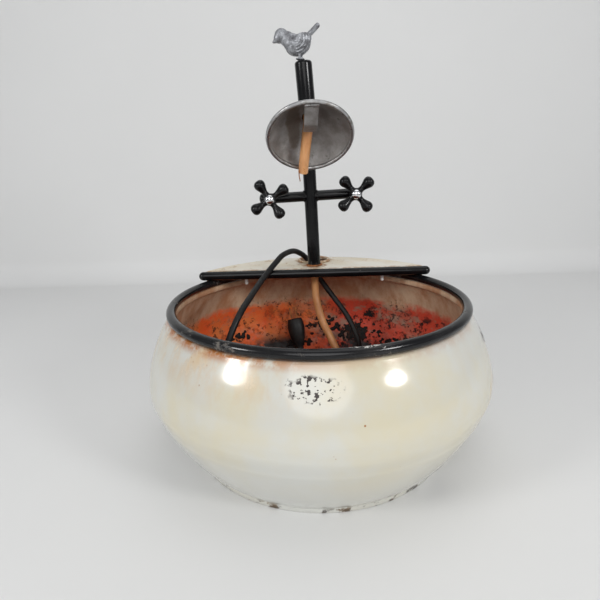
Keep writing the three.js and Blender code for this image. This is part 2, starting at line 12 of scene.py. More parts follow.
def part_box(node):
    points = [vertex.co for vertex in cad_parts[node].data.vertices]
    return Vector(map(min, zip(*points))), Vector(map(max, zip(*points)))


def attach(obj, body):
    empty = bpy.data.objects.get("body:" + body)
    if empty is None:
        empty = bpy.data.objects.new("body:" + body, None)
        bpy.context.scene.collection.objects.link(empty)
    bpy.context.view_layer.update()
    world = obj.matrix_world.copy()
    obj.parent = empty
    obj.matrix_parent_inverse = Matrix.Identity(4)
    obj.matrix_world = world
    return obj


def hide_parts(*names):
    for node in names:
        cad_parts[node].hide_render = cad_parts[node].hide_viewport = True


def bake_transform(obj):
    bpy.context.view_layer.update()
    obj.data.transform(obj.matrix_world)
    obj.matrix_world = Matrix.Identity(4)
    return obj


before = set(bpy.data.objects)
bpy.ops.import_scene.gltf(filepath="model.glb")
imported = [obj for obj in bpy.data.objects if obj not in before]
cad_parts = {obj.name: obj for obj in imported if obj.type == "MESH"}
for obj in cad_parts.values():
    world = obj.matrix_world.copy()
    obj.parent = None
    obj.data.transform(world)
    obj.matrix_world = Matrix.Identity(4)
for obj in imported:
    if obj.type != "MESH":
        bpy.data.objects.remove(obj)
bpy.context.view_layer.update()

# Unseeded, noise.noise_vector differs from run to run
noise.seed_set(7)

MM = 0.001
ROOT = "root"
LID = "lid"

# Sizes that the frame gives
BOWL_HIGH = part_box("basin_shoulder")[1]
BEAD_LOW, BEAD_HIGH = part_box("rim_bead")
ROLL_LOW, ROLL_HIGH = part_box("lid_front_roll")
PLATE_LOW, PLATE_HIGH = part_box("lid_plate")
WIDEST = BOWL_HIGH.x
BOWL_TOP = BOWL_HIGH.z
WIRE_RADIUS = (BEAD_HIGH.z - BEAD_LOW.z) / 2
RIM_RADIUS = BEAD_HIGH.x - WIRE_RADIUS
RIM_Z = (BEAD_LOW.z + BEAD_HIGH.z) / 2
ROLL_RADIUS = (ROLL_HIGH.z - ROLL_LOW.z) / 2
LID_TOP = PLATE_HIGH.z

# Fixed sizes
FLOOR_Z = 5 * MM
SHEET = 2 * MM
FOOT_RADIUS = 131.5 * MM
PIPE_RADIUS = 7.5 * MM
PIPE_BORE = 6 * MM
HOSE_RADIUS = 4.5 * MM
HOSE_BORE = 3.1 * MM
CORD_RADIUS = 3.35 * MM

# Edges sharper than this many degrees stay crisp
CRISP = 32
HOSE_CRISP = 40


def point(x, y, z):
    return Vector((x, y, z)) * MM


def points(*places):
    return [point(*place) for place in places]


def in_mm(outline):
    return [(a * MM, b * MM) for a, b in outline]


# ---------------------------------------------------------------- camera

CAMERA_PLACE = point(-17.98, -463.46, 286.56)
CAMERA_PITCH = 0.28362
CAMERA_ROLL = -0.0283
CAMERA_LENS = 28.15


def make_camera():
    data = bpy.data.cameras.new("camera")
    data.lens = CAMERA_LENS
    data.sensor_width = 36
    data.clip_start = 0.01
    camera = bpy.data.objects.new("camera", data)
    bpy.context.scene.collection.objects.link(camera)
    forward = Vector((0, math.cos(CAMERA_PITCH), -math.sin(CAMERA_PITCH)))
    level_up = Vector((0, math.sin(CAMERA_PITCH), math.cos(CAMERA_PITCH)))
    level_right = Vector((1, 0, 0))
    right = level_right * math.cos(CAMERA_ROLL) + level_up * math.sin(CAMERA_ROLL)
    up = level_up * math.cos(CAMERA_ROLL) - level_right * math.sin(CAMERA_ROLL)
    turn = Matrix((right, up, -forward)).transposed()
    camera.matrix_world = Matrix.Translation(CAMERA_PLACE) @ turn.to_4x4()
    bpy.context.scene.camera = camera


# ---------------------------------------------------------------- mesh helpers

def new_object(name, shape):
    verts, faces = shape
    mesh = bpy.data.meshes.new(name)
    mesh.from_pydata([tuple(v) for v in verts], [], faces)
    thing = bpy.data.objects.new(name, mesh)
    bpy.context.scene.collection.objects.link(thing)
    return thing


def make_piece(name, shape, finish, body=ROOT, replaces=(), sharp_angle=None):
    """A smooth mesh of (verts, faces) that rides on a body and stands for CAD nodes.

    Edges over sharp_angle degrees stay crisp.
    """
    piece = new_object(name, shape)
    mesh = piece.data
    mesh.validate()
    face_outward(mesh)
    mesh.materials.append(MATERIALS[finish])
    smooth_all(mesh)
    if body:
        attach(piece, body)
    if replaces:
        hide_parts(*replaces)
    if sharp_angle:
        mesh.set_sharp_from_angle(angle=math.radians(sharp_angle))
    return piece


def smooth_all(mesh):
    mesh.polygons.foreach_set("use_smooth", [True] * len(mesh.polygons))


def face_outward(mesh):
    shape = bmesh.new()
    shape.from_mesh(mesh)
    bmesh.ops.recalc_face_normals(shape, faces=shape.faces)
    if shape.calc_volume(signed=True) < 0:
        bmesh.ops.reverse_faces(shape, faces=shape.faces)
    shape.to_mesh(mesh)
    shape.free()


def lathe(profile, segments, centre=(0, 0)):
    """Turns a (radius, z) outline round the vertical axis. Points on the axis become one vertex."""
    verts, rows, faces = [], [], []
    for radius, z in profile:
        if radius < 1e-6:
            rows.append([len(verts)] * segments)
            verts.append(Vector((centre[0], centre[1], z)))
            continue
        rows.append(list(range(len(verts), len(verts) + segments)))
        for i in range(segments):
            angle = 2 * math.pi * i / segments
            x = centre[0] + radius * math.cos(angle)
            y = centre[1] + radius * math.sin(angle)
            verts.append(Vector((x, y, z)))
    closed = profile[0][0] > 1e-6
    pairs = list(zip(rows, rows[1:] + rows[:1])) if closed else list(zip(rows, rows[1:]))
    for low, high in pairs:
        for i in range(segments):
            j = (i + 1) % segments
            corners = [low[i], low[j], high[j], high[i]]
            corners = [c for k, c in enumerate(corners) if c != corners[k - 1]]
            if len(corners) > 2:
                faces.append(corners)
    return verts, faces


def placed(shape, matrix):
    verts, faces = shape
    return [matrix @ v for v in verts], faces


def along(start, direction):
    """The matrix that takes a shape standing along +Z from the origin to start, along direction."""
    turn = Vector((0, 0, 1)).rotation_difference(direction.normalized())
    return Matrix.Translation(start) @ turn.to_matrix().to_4x4()


def catmull(points, per_span):
    """A smooth open curve through the points."""
    padded = [points[0] * 2 - points[1], *points, points[-1] * 2 - points[-2]]
    curve = []
    for a, b, c, d in zip(padded, padded[1:], padded[2:], padded[3:]):
        for step in range(per_span):
            t = step / per_span
            curve.append(
                0.5 * (2 * b + (c - a) * t + (2 * a - 5 * b + 4 * c - d) * t * t + (3 * b - a - 3 * c + d) * t**3)
            )
    curve.append(points[-1].copy())
    return curve


def even(points, spacing):
    """The same line with points at an even spacing."""
    lengths = [0.0]
    for a, b in zip(points, points[1:]):
        lengths.append(lengths[-1] + (b - a).length)
    count = max(2, round(lengths[-1] / spacing))
    result, k = [], 0
    for i in range(count + 1):
        target = lengths[-1] * i / count
        while k < len(points) - 2 and lengths[k + 1] < target:
            k += 1
        share = (target - lengths[k]) / max(1e-12, lengths[k + 1] - lengths[k])
        result.append(points[k].lerp(points[k + 1], min(1.0, share)))
    return result


def path_frames(points):
    """A sideways and an upward direction at each point, carried along without twisting."""
    tangents = []
    for i in range(len(points)):
        tangents.append((points[min(i + 1, len(points) - 1)] - points[max(i - 1, 0)]).normalized())
    side = tangents[0].orthogonal().normalized()
    frames = []
    for tangent in tangents:
        side = (side - tangent * side.dot(tangent)).normalized()
        frames.append((side, tangent.cross(side)))
    return frames


def skin(rows, sides, first=0, closed=False):
    """Quads over rings of points: rows rings of sides points each, from the point numbered first."""
    faces = []
    for row in range(rows if closed else rows - 1):
        ring = first + row * sides
        following = first + (row + 1) % rows * sides
        for k in range(sides):
            m = (k + 1) % sides
            faces.append([ring + k, ring + m, following + m, following + k])
    return faces


def sweep(line, radii, sides, bore=None):
    """A round bar along a line, or a pipe where bore is given. radii is one number or one per point."""
    if not hasattr(radii, "__len__"):
        radii = [radii] * len(line)
    frames = path_frames(line)
    verts, faces = [], []

    def add_rings(ring_radii):
        first = len(verts)
        for centre, (side, up), radius in zip(line, frames, ring_radii):
            for k in range(sides):
                angle = 2 * math.pi * k / sides
                verts.append(centre + side * (radius * math.cos(angle)) + up * (radius * math.sin(angle)))
        faces.extend(skin(len(line), sides, first))
        return first, first + (len(line) - 1) * sides

    start, end = add_rings(radii)
    if bore is None:
        faces.append(list(range(start, start + sides)))
        faces.append(list(range(end, end + sides)))
        return verts, faces
    inner_start, inner_end = add_rings([bore] * len(line))
    for outer, inner in ((start, inner_start), (end, inner_end)):
        for k in range(sides):
            m = (k + 1) % sides
            faces.append([outer + k, outer + m, inner + m, inner + k])
    return verts, faces


def round_ends(line, radius, steps=6):
    """Radii and extra points that close both ends of a bar with a half ball."""
    first, last = line[0], line[-1]
    head = (line[1] - first).normalized()
    tail = (last - line[-2]).normalized()
    start_points, start_radii = [], []
    for i in range(steps):
        angle = math.pi / 2 * i / steps
        start_points.append(first - head * (radius * math.cos(angle)))
        start_radii.append(max(radius * math.sin(angle), radius * 0.02))
    end_points = [last + tail * (first - p).length for p in start_points[::-1]]
    return start_points + line + end_points, start_radii + [radius] * len(line) + start_radii[::-1]


def ellipsoid(centre, radii, turn=Matrix.Identity(3), rings=16, segments=24):
    profile = []
    for i in range(rings + 1):
        angle = -math.pi / 2 + math.pi * i / rings
        radius = 0.0 if i in (0, rings) else math.cos(angle)
        profile.append((radius, math.sin(angle)))
    verts, faces = lathe(profile, segments)
    scale = Matrix.Diagonal(radii)
    return [centre + turn @ (scale @ v) for v in verts], faces


def gather(parts):
    """Joins several (verts, faces) shapes into one list."""
    verts, faces = [], []
    for part_verts, part_faces in parts:
        shift = len(verts)
        verts.extend(part_verts)
        faces.extend([[i + shift for i in face] for face in part_faces])
    return verts, faces


def fused(name, parts, voxel, smooth_steps):
    """One closed skin round overlapping shapes, melted together by a fine voxel remesh."""
    source = new_object(name + "_source", gather(parts))
    remesh = source.modifiers.new("remesh", "REMESH")
    remesh.mode = "VOXEL"
    remesh.voxel_size = voxel
    soften = source.modifiers.new("soften", "SMOOTH")
    soften.iterations = smooth_steps
    soften.factor = 0.5
    return taken(source)


def taken(source):
    """The source object's shape with its modifiers applied; the source is then removed."""
    graph = bpy.context.evaluated_depsgraph_get()
    done = bpy.data.meshes.new_from_object(source.evaluated_get(graph))
    verts = [v.co.copy() for v in done.vertices]
    faces = [list(p.vertices) for p in done.polygons]
    bpy.data.objects.remove(source)
    return verts, faces


def cut_by(shape, cutters):
    """The closed shape less each closed cutter."""
    source = new_object("cut_source", shape)
    face_outward(source.data)
    tools = []
    for index, cutter in enumerate(cutters):
        tool = new_object(f"cut_tool_{index}", cutter)
        face_outward(tool.data)
        cut = source.modifiers.new(f"cut_{index}", "BOOLEAN")
        cut.operation = "DIFFERENCE"
        cut.solver = "EXACT"
        cut.object = tool
        tools.append(tool)
    result = taken(source)
    for tool in tools:
        bpy.data.objects.remove(tool)
    return result


def roughened(verts, size, height, seed=0.0):
    """Moves points along a smooth random field, for the small unevenness of handmade sheet metal."""
    offset = Vector((seed, seed * 1.7, -seed))
    return [v + noise.noise_vector(v / size + offset) * height for v in verts]


# ---------------------------------------------------------------- materials

class Surface:
    """A procedural material: short calls that add and join shader nodes."""

    def __init__(self, name, **fixed):
        self.material = bpy.data.materials.new(name)
        self.material.use_nodes = True
        self.nodes = self.material.node_tree.nodes
        self.links = self.material.node_tree.links
        self.nodes.clear()
        output = self.nodes.new("ShaderNodeOutputMaterial")
        self.shader = self.node("ShaderNodeBsdfPrincipled", **fixed)
        self.links.new(self.shader.outputs["BSDF"], output.inputs["Surface"])
        self.place = self.nodes.new("ShaderNodeTexCoord").outputs["Object"]
        split = self.node("ShaderNodeSeparateXYZ", Vector=self.place)
        self.x, self.y, self.z = split.outputs

    def node(self, kind, **inputs):
        """A new node with its inputs linked or set. From_Min means the input called From Min."""
        node = self.nodes.new(kind)
        for key, value in inputs.items():
            self.feed(node.inputs[key.replace("_", " ")], value)
        return node

    def feed(self, socket, value):
        if isinstance(value, bpy.types.NodeSocket):
            self.links.new(value, socket)
        elif hasattr(value, "__len__") and len(value) == 3 and socket.type == "RGBA":
            socket.default_value = (*value, 1)
        else:
            socket.default_value = value

    def math(self, operation, a, b):
        node = self.nodes.new("ShaderNodeMath")
        node.operation = operation
        self.feed(node.inputs[0], a)
        self.feed(node.inputs[1], b)
        return node.outputs[0]

    def times(self, a, b):
        return self.math("MULTIPLY", a, b)

    def plus(self, a, b):
        return self.math("ADD", a, b)

    def less(self, a, b):
        return self.math("SUBTRACT", a, b)

    def lifted(self, mask, gain, base):
        return self.plus(self.times(mask, gain), base)

    def both(self, *masks):
        return reduce(self.times, masks)

    def either(self, *masks):
        return reduce(lambda a, b: self.math("MAXIMUM", a, b), masks)

    def scaled(self, stretch):
        return self.node("ShaderNodeMapping", Vector=self.place, Scale=stretch).outputs[0]

    def noise(self, scale, detail=4, roughness=0.55, stretch=(1, 1, 1)):
        place = self.scaled(stretch)
        node = self.node("ShaderNodeTexNoise", Vector=place, Scale=scale, Detail=detail, Roughness=roughness)
        return node.outputs["Fac"]

    def cells(self, scale):
        return self.node("ShaderNodeTexVoronoi", Vector=self.scaled((1, 1, 1)), Scale=scale).outputs["Distance"]

    def ramp(self, value, low, high, to_low=0.0, to_high=1.0):
        node = self.node("ShaderNodeMapRange", Value=value, From_Min=low, From_Max=high,
                         To_Min=to_low, To_Max=to_high)
        node.interpolation_type = "SMOOTHSTEP"
        return node.outputs["Result"]

    def mix(self, amount, first, second):
        node = self.nodes.new("ShaderNodeMix")
        node.data_type = "RGBA"
        self.feed(node.inputs["Factor"], amount)
        self.feed(node.inputs[6], first)
        self.feed(node.inputs[7], second)
        return node.outputs[2]

    def spot(self, centre, radii, wobble, scale):
        """1 inside an egg-shaped region round centre, fading out to its edge; wobble roughens the edge."""
        parts = []
        for axis, middle, radius in zip((self.x, self.y, self.z), centre, radii):
            reach = self.math("DIVIDE", self.less(axis, middle), radius)
            parts.append(self.times(reach, reach))
        shift = self.times(self.less(self.noise(scale, 5), 0.5), wobble * 2)
        return self.ramp(self.plus(reduce(self.plus, parts), shift), 0.55, 1.0, 1, 0)

    def bump(self, height, distance, strength):
        node = self.node("ShaderNodeBump", Height=height, Distance=distance, Strength=strength)
        self.links.new(node.outputs["Normal"], self.shader.inputs["Normal"])

    def done(self, colour, roughness, metallic=None):
        self.feed(self.shader.inputs["Base Color"], colour)
        self.feed(self.shader.inputs["Roughness"], roughness)
        if metallic is not None:
            self.feed(self.shader.inputs["Metallic"], metallic)
        return self.material


RUST_ORANGE = (0.42, 0.15, 0.035)
RUST_BROWN = (0.13, 0.045, 0.018)
RUST_DARK = (0.022, 0.012, 0.008)


def white_enamel():
    """Outside of the bowl: glossy white, cream clouds, painted shade low on the wall, rust wash under the rim,
    chips and a stained foot.
    """
    s = Surface("white_enamel", Coat_Weight=0.35, Coat_Roughness=0.08)
    clouds = s.noise(9, 5, 0.6)
    fine = s.noise(60, 6, 0.65)
    base = s.mix(s.ramp(clouds, 0.38, 0.66), (0.61, 0.61, 0.565), (0.63, 0.58, 0.43))
    # Greyer and darker towards the bottom, below the crease where the wall turns under: painted shade, broken up
    # by the clouds.
    base = s.mix(s.both(s.ramp(s.z, 0.09, 0.02), s.ramp(clouds, 0.35, 0.6, 0.2, 0.6)), base, (0.56, 0.565, 0.545))
    left = s.ramp(s.x, 0.03, -0.09)
    drips = s.noise(38, 6, 0.7, stretch=(1, 1, 0.22))
    under_rim = s.ramp(s.z, 0.098, 0.147)
    wash = s.both(under_rim, s.ramp(drips, 0.40, 0.66), s.lifted(left, 0.85, 0.12))
    front = s.ramp(s.y, 0.02, -0.06)
    wash = s.both(wash, s.lifted(front, 0.7, 0.3))
    colour = s.mix(s.times(wash, 0.7), base, (0.62, 0.40, 0.17))
    edge_side = s.lifted(left, 0.75, 0.25)
    edge = s.both(s.ramp(s.z, 0.1385, 0.1462), s.ramp(s.noise(42, 5, 0.7), 0.38, 0.56), edge_side)
    colour = s.mix(edge, colour, RUST_ORANGE)
    specks = s.both(s.ramp(s.cells(95), 0.10, 0.05), s.ramp(s.noise(14, 3), 0.56, 0.66))
    colour = s.mix(specks, colour, (0.36, 0.17, 0.07))
    cluster = s.both(s.spot((-0.0095, -0.160, 0.1305), (0.023, 0.03, 0.0100), 0.9, 110),
                     s.ramp(s.noise(250, 3, stretch=(0.8, 1, 1.0)), 0.54, 0.56))
    side_nicks = s.both(s.spot((0.099, -0.100, 0.020), (0.016, 0.03, 0.012), 0.6, 90),
                        s.ramp(s.noise(210, 3), 0.47, 0.50))
    foot_ring = s.both(s.ramp(s.z, 0.0065, 0.0025), s.ramp(s.noise(120, 4), 0.52, 0.60))
    high_nicks = s.both(s.spot((0.150, -0.045, 0.127), (0.012, 0.02, 0.008), 0.6, 90),
                        s.ramp(s.noise(260, 3), 0.50, 0.53))
    chips = s.either(cluster, side_nicks, high_nicks, s.times(foot_ring, 0.8))
    runs = s.both(s.spot((0.155, -0.055, 0.086), (0.022, 0.04, 0.018), 0.6, 60),
                  s.ramp(s.noise(130, 4, stretch=(1, 1, 0.25)), 0.50, 0.62))
    colour = s.mix(runs, colour, (0.55, 0.38, 0.20))
    colour = s.mix(s.both(foot_ring, s.ramp(fine, 0.5, 0.62)), colour, (0.45, 0.30, 0.16))
    colour = s.mix(chips, colour, RUST_DARK)
    rough = s.ramp(s.either(chips, s.times(wash, 0.6)), 0, 1, 0.16, 0.62)
    s.bump(s.less(s.times(s.noise(25, 2), 0.5), chips), 0.0004, 0.6)
    return s.done(colour, rough)


def rusty_inside():
    """Inside of the bowl: tan above the old water line, orange and red rust with black flakes below it."""
    s = Surface("rusty_inside")
    patches = s.noise(17, 7, 0.66)
    streaks = s.noise(34, 6, 0.7, stretch=(1, 1, 0.35))
    fine = s.noise(130, 6, 0.7)
    right = s.ramp(s.x, -0.02, 0.05)
    tan = s.mix(s.ramp(streaks, 0.35, 0.68), (0.50, 0.25, 0.13), (0.74, 0.55, 0.37))
    rust = s.mix(s.ramp(patches, 0.38, 0.62), (0.90, 0.13, 0.025), (0.80, 0.22, 0.055))
    pink = s.mix(s.ramp(patches, 0.42, 0.58), (0.72, 0.075, 0.035), (0.52, 0.12, 0.07))
    rust = s.mix(right, rust, pink)
    grey = s.both(s.ramp(s.noise(26, 6, 0.7, stretch=(1, 1, 1.8)), 0.52, 0.6), s.lifted(right, 0.6, 0.3))
    rust = s.mix(grey, rust, (0.40, 0.24, 0.17))
    line = s.plus(s.z, s.times(s.less(patches, 0.5), 0.05))
    colour = s.mix(s.ramp(line, 0.096, 0.108), rust, tan)
    flakes = s.both(s.ramp(s.noise(62, 8, 0.78), 0.545, 0.60), s.ramp(s.z, 0.108, 0.085))
    flakes = s.both(flakes, s.lifted(right, 0.7, 0.35))
    high_up = s.ramp(s.z, 0.118, 0.100)
    speckle = s.both(s.ramp(s.noise(150, 6, 0.8), 0.56, 0.60), high_up, s.ramp(patches, 0.44, 0.52))
    low_down = s.both(s.ramp(s.z, 0.062, 0.045), s.ramp(patches, 0.40, 0.52))
    flakes = s.either(flakes, speckle, low_down)
    colour = s.mix(flakes, colour, (0.012, 0.009, 0.008))
    s.bump(s.plus(s.times(flakes, 1.2), fine), 0.0008, 0.8)
    return s.done(colour, s.ramp(fine, 0.3, 0.7, 0.45, 0.85))


def black_enamel():
    """Glossy black paint with dust, worn spots that show grey, and faint orange peel."""
    s = Surface("black_enamel", Specular_IOR_Level=0.28)
    wear = s.noise(60, 6, 0.68)
    dust = s.noise(21, 4, 0.6)
    fine = s.noise(360, 5, 0.7)
    colour = s.mix(s.ramp(dust, 0.4, 0.75, 0, 0.5), (0.0035, 0.0035, 0.004), (0.014, 0.014, 0.014))
    worn = s.both(s.ramp(wear, 0.68, 0.73), s.ramp(fine, 0.4, 0.6))
    colour = s.mix(worn, colour, (0.10, 0.095, 0.09))
    rough = s.ramp(s.either(worn, s.times(dust, 0.4)), 0, 1, 0.14, 0.7)
    s.bump(s.less(s.times(s.noise(150, 2), 0.35), worn), 0.00025, 0.5)
    return s.done(colour, rough)


def rim_enamel():
    """The rim's black enamel, with white chips on the inner front edge and rust below."""
    s = Surface("rim_enamel", Specular_IOR_Level=0.35)
    wear = s.noise(45, 6, 0.7)
    fine = s.noise(240, 5, 0.7)
    colour = s.mix(s.ramp(s.noise(22, 5), 0.42, 0.75, 0, 0.7), (0.004, 0.004, 0.005), (0.026, 0.025, 0.024))
    worn = s.both(s.ramp(wear, 0.60, 0.66), s.ramp(fine, 0.4, 0.55))
    colour = s.mix(s.times(worn, 0.8), colour, (0.17, 0.15, 0.13))
    chips = s.both(s.spot((0.020, -0.1425, 0.1562), (0.045, 0.0028, 0.0028), 0.9, 160), s.ramp(fine, 0.55, 0.60))
    colour = s.mix(chips, colour, (0.62, 0.60, 0.56))
    rusty = s.both(s.ramp(s.z, 0.1495, 0.1473), s.ramp(s.noise(80, 5), 0.42, 0.6))
    colour = s.mix(s.times(rusty, 0.8), colour, RUST_BROWN)
    rough = s.ramp(s.either(worn, chips, rusty), 0, 1, 0.17, 0.7)
    s.bump(s.less(s.times(s.noise(70, 2), 0.5), s.either(worn, chips)), 0.0004, 0.6)
    return s.done(colour, rough)


def cream_enamel():
    """The lid's cream enamel with rust freckles, blooms round the pole and hole, and a stained edge."""
    s = Surface("cream_enamel", Coat_Weight=0.2, Coat_Roughness=0.2)
    clouds = s.noise(16, 6, 0.62)
    fine = s.noise(170, 6, 0.72)
    colour = s.mix(s.ramp(clouds, 0.36, 0.66), (0.76, 0.72, 0.62), (0.66, 0.56, 0.38))
    freckles = s.both(s.ramp(s.noise(95, 5, 0.75), 0.56, 0.64), s.ramp(clouds, 0.40, 0.62))
    colour = s.mix(s.times(freckles, 0.75), colour, (0.42, 0.22, 0.10))
    bloom = s.either(
        s.spot((0.0007, 0.097, 0.167), (0.017, 0.014, 0.02), 0.8, 120),
        s.spot((0.0015, 0.128, 0.167), (0.026, 0.026, 0.02), 0.7, 90),
    )
    colour = s.mix(s.both(bloom, s.ramp(fine, 0.34, 0.6)), colour, (0.34, 0.17, 0.08))
    front = s.both(s.ramp(s.y, 0.0865, 0.0795), s.ramp(fine, 0.38, 0.6))
    colour = s.mix(s.times(front, 0.7), colour, (0.40, 0.22, 0.10))
    below = s.ramp(s.z, 0.1655, 0.1640)
    colour = s.mix(s.both(below, s.ramp(clouds, 0.35, 0.55)), colour, (0.26, 0.13, 0.06))
    dark = s.both(s.ramp(s.noise(60, 7, 0.8), 0.66, 0.70), s.ramp(fine, 0.45, 0.6))
    colour = s.mix(dark, colour, RUST_DARK)
    s.bump(s.plus(s.times(clouds, 0.4), s.times(freckles, -0.6)), 0.0005, 0.5)
    return s.done(colour, s.ramp(s.either(freckles, bloom), 0, 1, 0.3, 0.75))


def grey_steel():
    """Dull spun steel with water marks, brown streaks and a fine grain."""
    s = Surface("grey_steel")
    marks = s.noise(70, 6, 0.7)
    fine = s.noise(420, 4, 0.6)
    colour = s.mix(s.ramp(marks, 0.35, 0.68), (0.20, 0.185, 0.175), (0.33, 0.32, 0.31))
    # A brown streak down the inside of the cone, to the left of the hose.
    brown_streak = s.spot((-0.019, -0.036, 0.317), (0.008, 0.05, 0.020), 0.8, 120)
    colour = s.mix(s.times(brown_streak, 0.6), colour, (0.11, 0.07, 0.04))
    spots = s.both(s.ramp(s.noise(120, 6, 0.75), 0.58, 0.64), s.ramp(marks, 0.45, 0.6))
    colour = s.mix(s.times(spots, 0.6), colour, (0.07, 0.055, 0.04))
    s.bump(s.plus(fine, marks), 0.0002, 0.35)
    return s.done(colour, s.ramp(marks, 0.3, 0.7, 0.38, 0.62), 0.55)


def pewter():
    """Silver paint on a cast bird, darker in random blotches."""
    s = Surface("pewter", Metallic=0.65)
    blotch = s.noise(180, 6, 0.7)
    grain = s.noise(900, 4, 0.6)
    colour = s.mix(s.ramp(blotch, 0.40, 0.66), (0.36, 0.37, 0.39), (0.15, 0.15, 0.16))
    worn = s.both(s.ramp(s.noise(420, 5, 0.75), 0.6, 0.66), s.ramp(blotch, 0.5, 0.62))
    colour = s.mix(s.times(worn, 0.8), colour, (0.05, 0.045, 0.04))
    s.bump(s.plus(grain, s.times(blotch, 0.7)), 0.0003, 0.5)
    return s.done(colour, s.ramp(blotch, 0.3, 0.7, 0.32, 0.58))


def black_plastic():
    s = Surface("black_plastic")
    scale_marks = s.noise(70, 7, 0.75)
    colour = s.mix(s.ramp(scale_marks, 0.55, 0.68), (0.016, 0.016, 0.017), (0.16, 0.10, 0.06))
    s.bump(s.plus(s.noise(1200, 3), s.times(scale_marks, 0.6)), 0.0003, 0.5)
    return s.done(colour, s.ramp(scale_marks, 0.4, 0.7, 0.42, 0.85))


def plain_finish(name, grain, patch, colours, relief, rough, **fixed):
    """Two colours mixed by one noise; relief is a finer noise, or None for the same one."""
    s = Surface(name, **fixed)
    blotch = s.noise(*grain)
    colour = s.mix(s.ramp(blotch, *patch), *colours)
    fine, depth, strength = relief
    s.bump(s.noise(*fine) if fine else blotch, depth, strength)
    return s.done(colour, s.ramp(blotch, *rough))


# name, noise, where the second colour starts and ends, the two colours, relief, roughness ramp, fixed inputs
PLAIN_FINISHES = [
    ("bright_rim_steel", (110, 6, 0.7), (0.45, 0.7), ((0.42, 0.42, 0.42), (0.20, 0.18, 0.16)),
     ((500, 3), 0.00015, 0.3), (0.3, 0.7, 0.24, 0.5), {"Metallic": 0.9}),
    ("chrome", (300, 4, 0.6), (0.5, 0.75), ((0.78, 0.79, 0.80), (0.55, 0.54, 0.52)),
     (None, 0.0001, 0.2), (0.4, 0.8, 0.08, 0.3), {"Metallic": 1.0}),
    ("rusty_steel", (160, 7, 0.75), (0.38, 0.64), (RUST_ORANGE, RUST_BROWN),
     ((600, 6, 0.8), 0.0005, 0.9), (0.3, 0.7, 0.7, 0.95), {"Metallic": 0.1}),
    ("amber_vinyl", (60, 5, 0.6, (1, 1, 0.3)), (0.36, 0.66), ((0.86, 0.45, 0.19), (0.58, 0.24, 0.08)),
     ((300, 3), 0.0001, 0.3), (0.3, 0.7, 0.25, 0.5), {"Transmission_Weight": 0.35, "IOR": 1.45}),
    ("black_rubber", (90, 6, 0.7), (0.45, 0.72), ((0.008, 0.008, 0.008), (0.0256, 0.0232, 0.0208)),
     ((900, 4), 0.00012, 0.4), (0.3, 0.7, 0.38, 0.63), {"Specular_IOR_Level": 0.3}),
    ("white_plastic", (400, 5, 0.7), (0.55, 0.75), ((0.82, 0.82, 0.79), (0.50, 0.38, 0.25)),
     (None, 0.0001, 0.3), (0.3, 0.7, 0.3, 0.6), {}),
    ("ceramic", (500, 4, 0.6), (0.5, 0.8), ((0.86, 0.84, 0.79), (0.62, 0.52, 0.40)),
     (None, 0.00005, 0.3), (0.3, 0.7, 0.18, 0.4), {}),
    ("magnet", (250, 5, 0.7), (0.5, 0.7), ((0.045, 0.045, 0.048), (0.14, 0.09, 0.06)),
     (None, 0.0002, 0.4), (0.3, 0.7, 0.4, 0.7), {}),
    ("crust", (110, 8, 0.8), (0.52, 0.66), ((0.008, 0.006, 0.005), (0.10, 0.035, 0.018)),
     ((420, 8, 0.8), 0.0012, 1.0), (0.3, 0.7, 0.5, 0.9), {}),
]


MATERIALS = {
    make.__name__: make()
    for make in (white_enamel, rusty_inside, black_enamel, rim_enamel, cream_enamel, grey_steel, pewter,
                 black_plastic)
}
for finish, *facts, fixed_inputs in PLAIN_FINISHES:
    MATERIALS[finish] = plain_finish(finish, *facts, **fixed_inputs)


# ---------------------------------------------------------------- mains lead and plug

LEAD_OVER_LID = points(
    (54, 84, 64.6), (54, 84, 70), (50, 88.5, 82), (40, 99, 102), (20, 114, 128), (4, 124, 150),
    (-4, 125, 163), (-8.5, 122, 171), (-15, 115.5, 178), (-24.9, 105, 183.6), (-36.8, 90, 181.8),
    (-45, 79, 175.2), (-53, 66, 168), (-62, 46, 159.5), (-71, 15, 151), (-79.5, -8, 141),
    (-88, -22, 124), (-96, -30, 102), (-98.8, -35.5, 80),
)
LEAD_TO_PLUG = points(
    (-9, -22, 8.7), (-9, 0, 8.7), (-14, 30, 8.7), (-19, 62, 8.7), (-20, 90, 8.8), (-19.4, 102, 9.8),
    (-18.4, 113, 13), (-17.4, 122, 18), (-16.9, 128.6, 25.4), (-17.7, 131.2, 31.1),
)
COIL_CENTRE = point(-58, -42, 8.75)
COIL_PITCH = 2.05 * CORD_RADIUS
COIL_INNER = 27 * MM
COIL_DROP = 0.22
COIL_TURNS_DOWN = 2
COIL_TURNS = 5.5
LEAD_DESCENT = 52 * MM
PLUG_BASE = point(-17.8, 131.4, 31.6)
PLUG_AXIS = Vector((-8.5, 18, 50)).normalized()


def coil_points():
    """Two layers of turns: inwards on top, then outwards on the floor."""
    steps = 28
    line = []
    for i in range(1, round(COIL_TURNS * steps) + 1):
        turns = i / steps
        if turns <= COIL_TURNS_DOWN:
            radius = COIL_INNER + COIL_PITCH * (COIL_TURNS_DOWN - turns)
            height = COIL_PITCH + LEAD_DESCENT * max(0.0, 1 - turns / 0.32) ** 2
        else:
            drop = min(1.0, (turns - COIL_TURNS_DOWN) / COIL_DROP)
            radius = COIL_INNER + COIL_PITCH * max(0.0, turns - COIL_TURNS_DOWN - COIL_DROP)
            height = COIL_PITCH * (1 - drop * drop * (3 - 2 * drop))
        angle = math.pi + 2 * math.pi * turns
        side = Vector((math.cos(angle), math.sin(angle), 0)) * radius
        line.append(COIL_CENTRE + side + Vector((0, 0, height)))
    return line


def lead_path():
    return even(catmull([*LEAD_OVER_LID, *coil_points(), *LEAD_TO_PLUG], 6), 3.0 * MM)


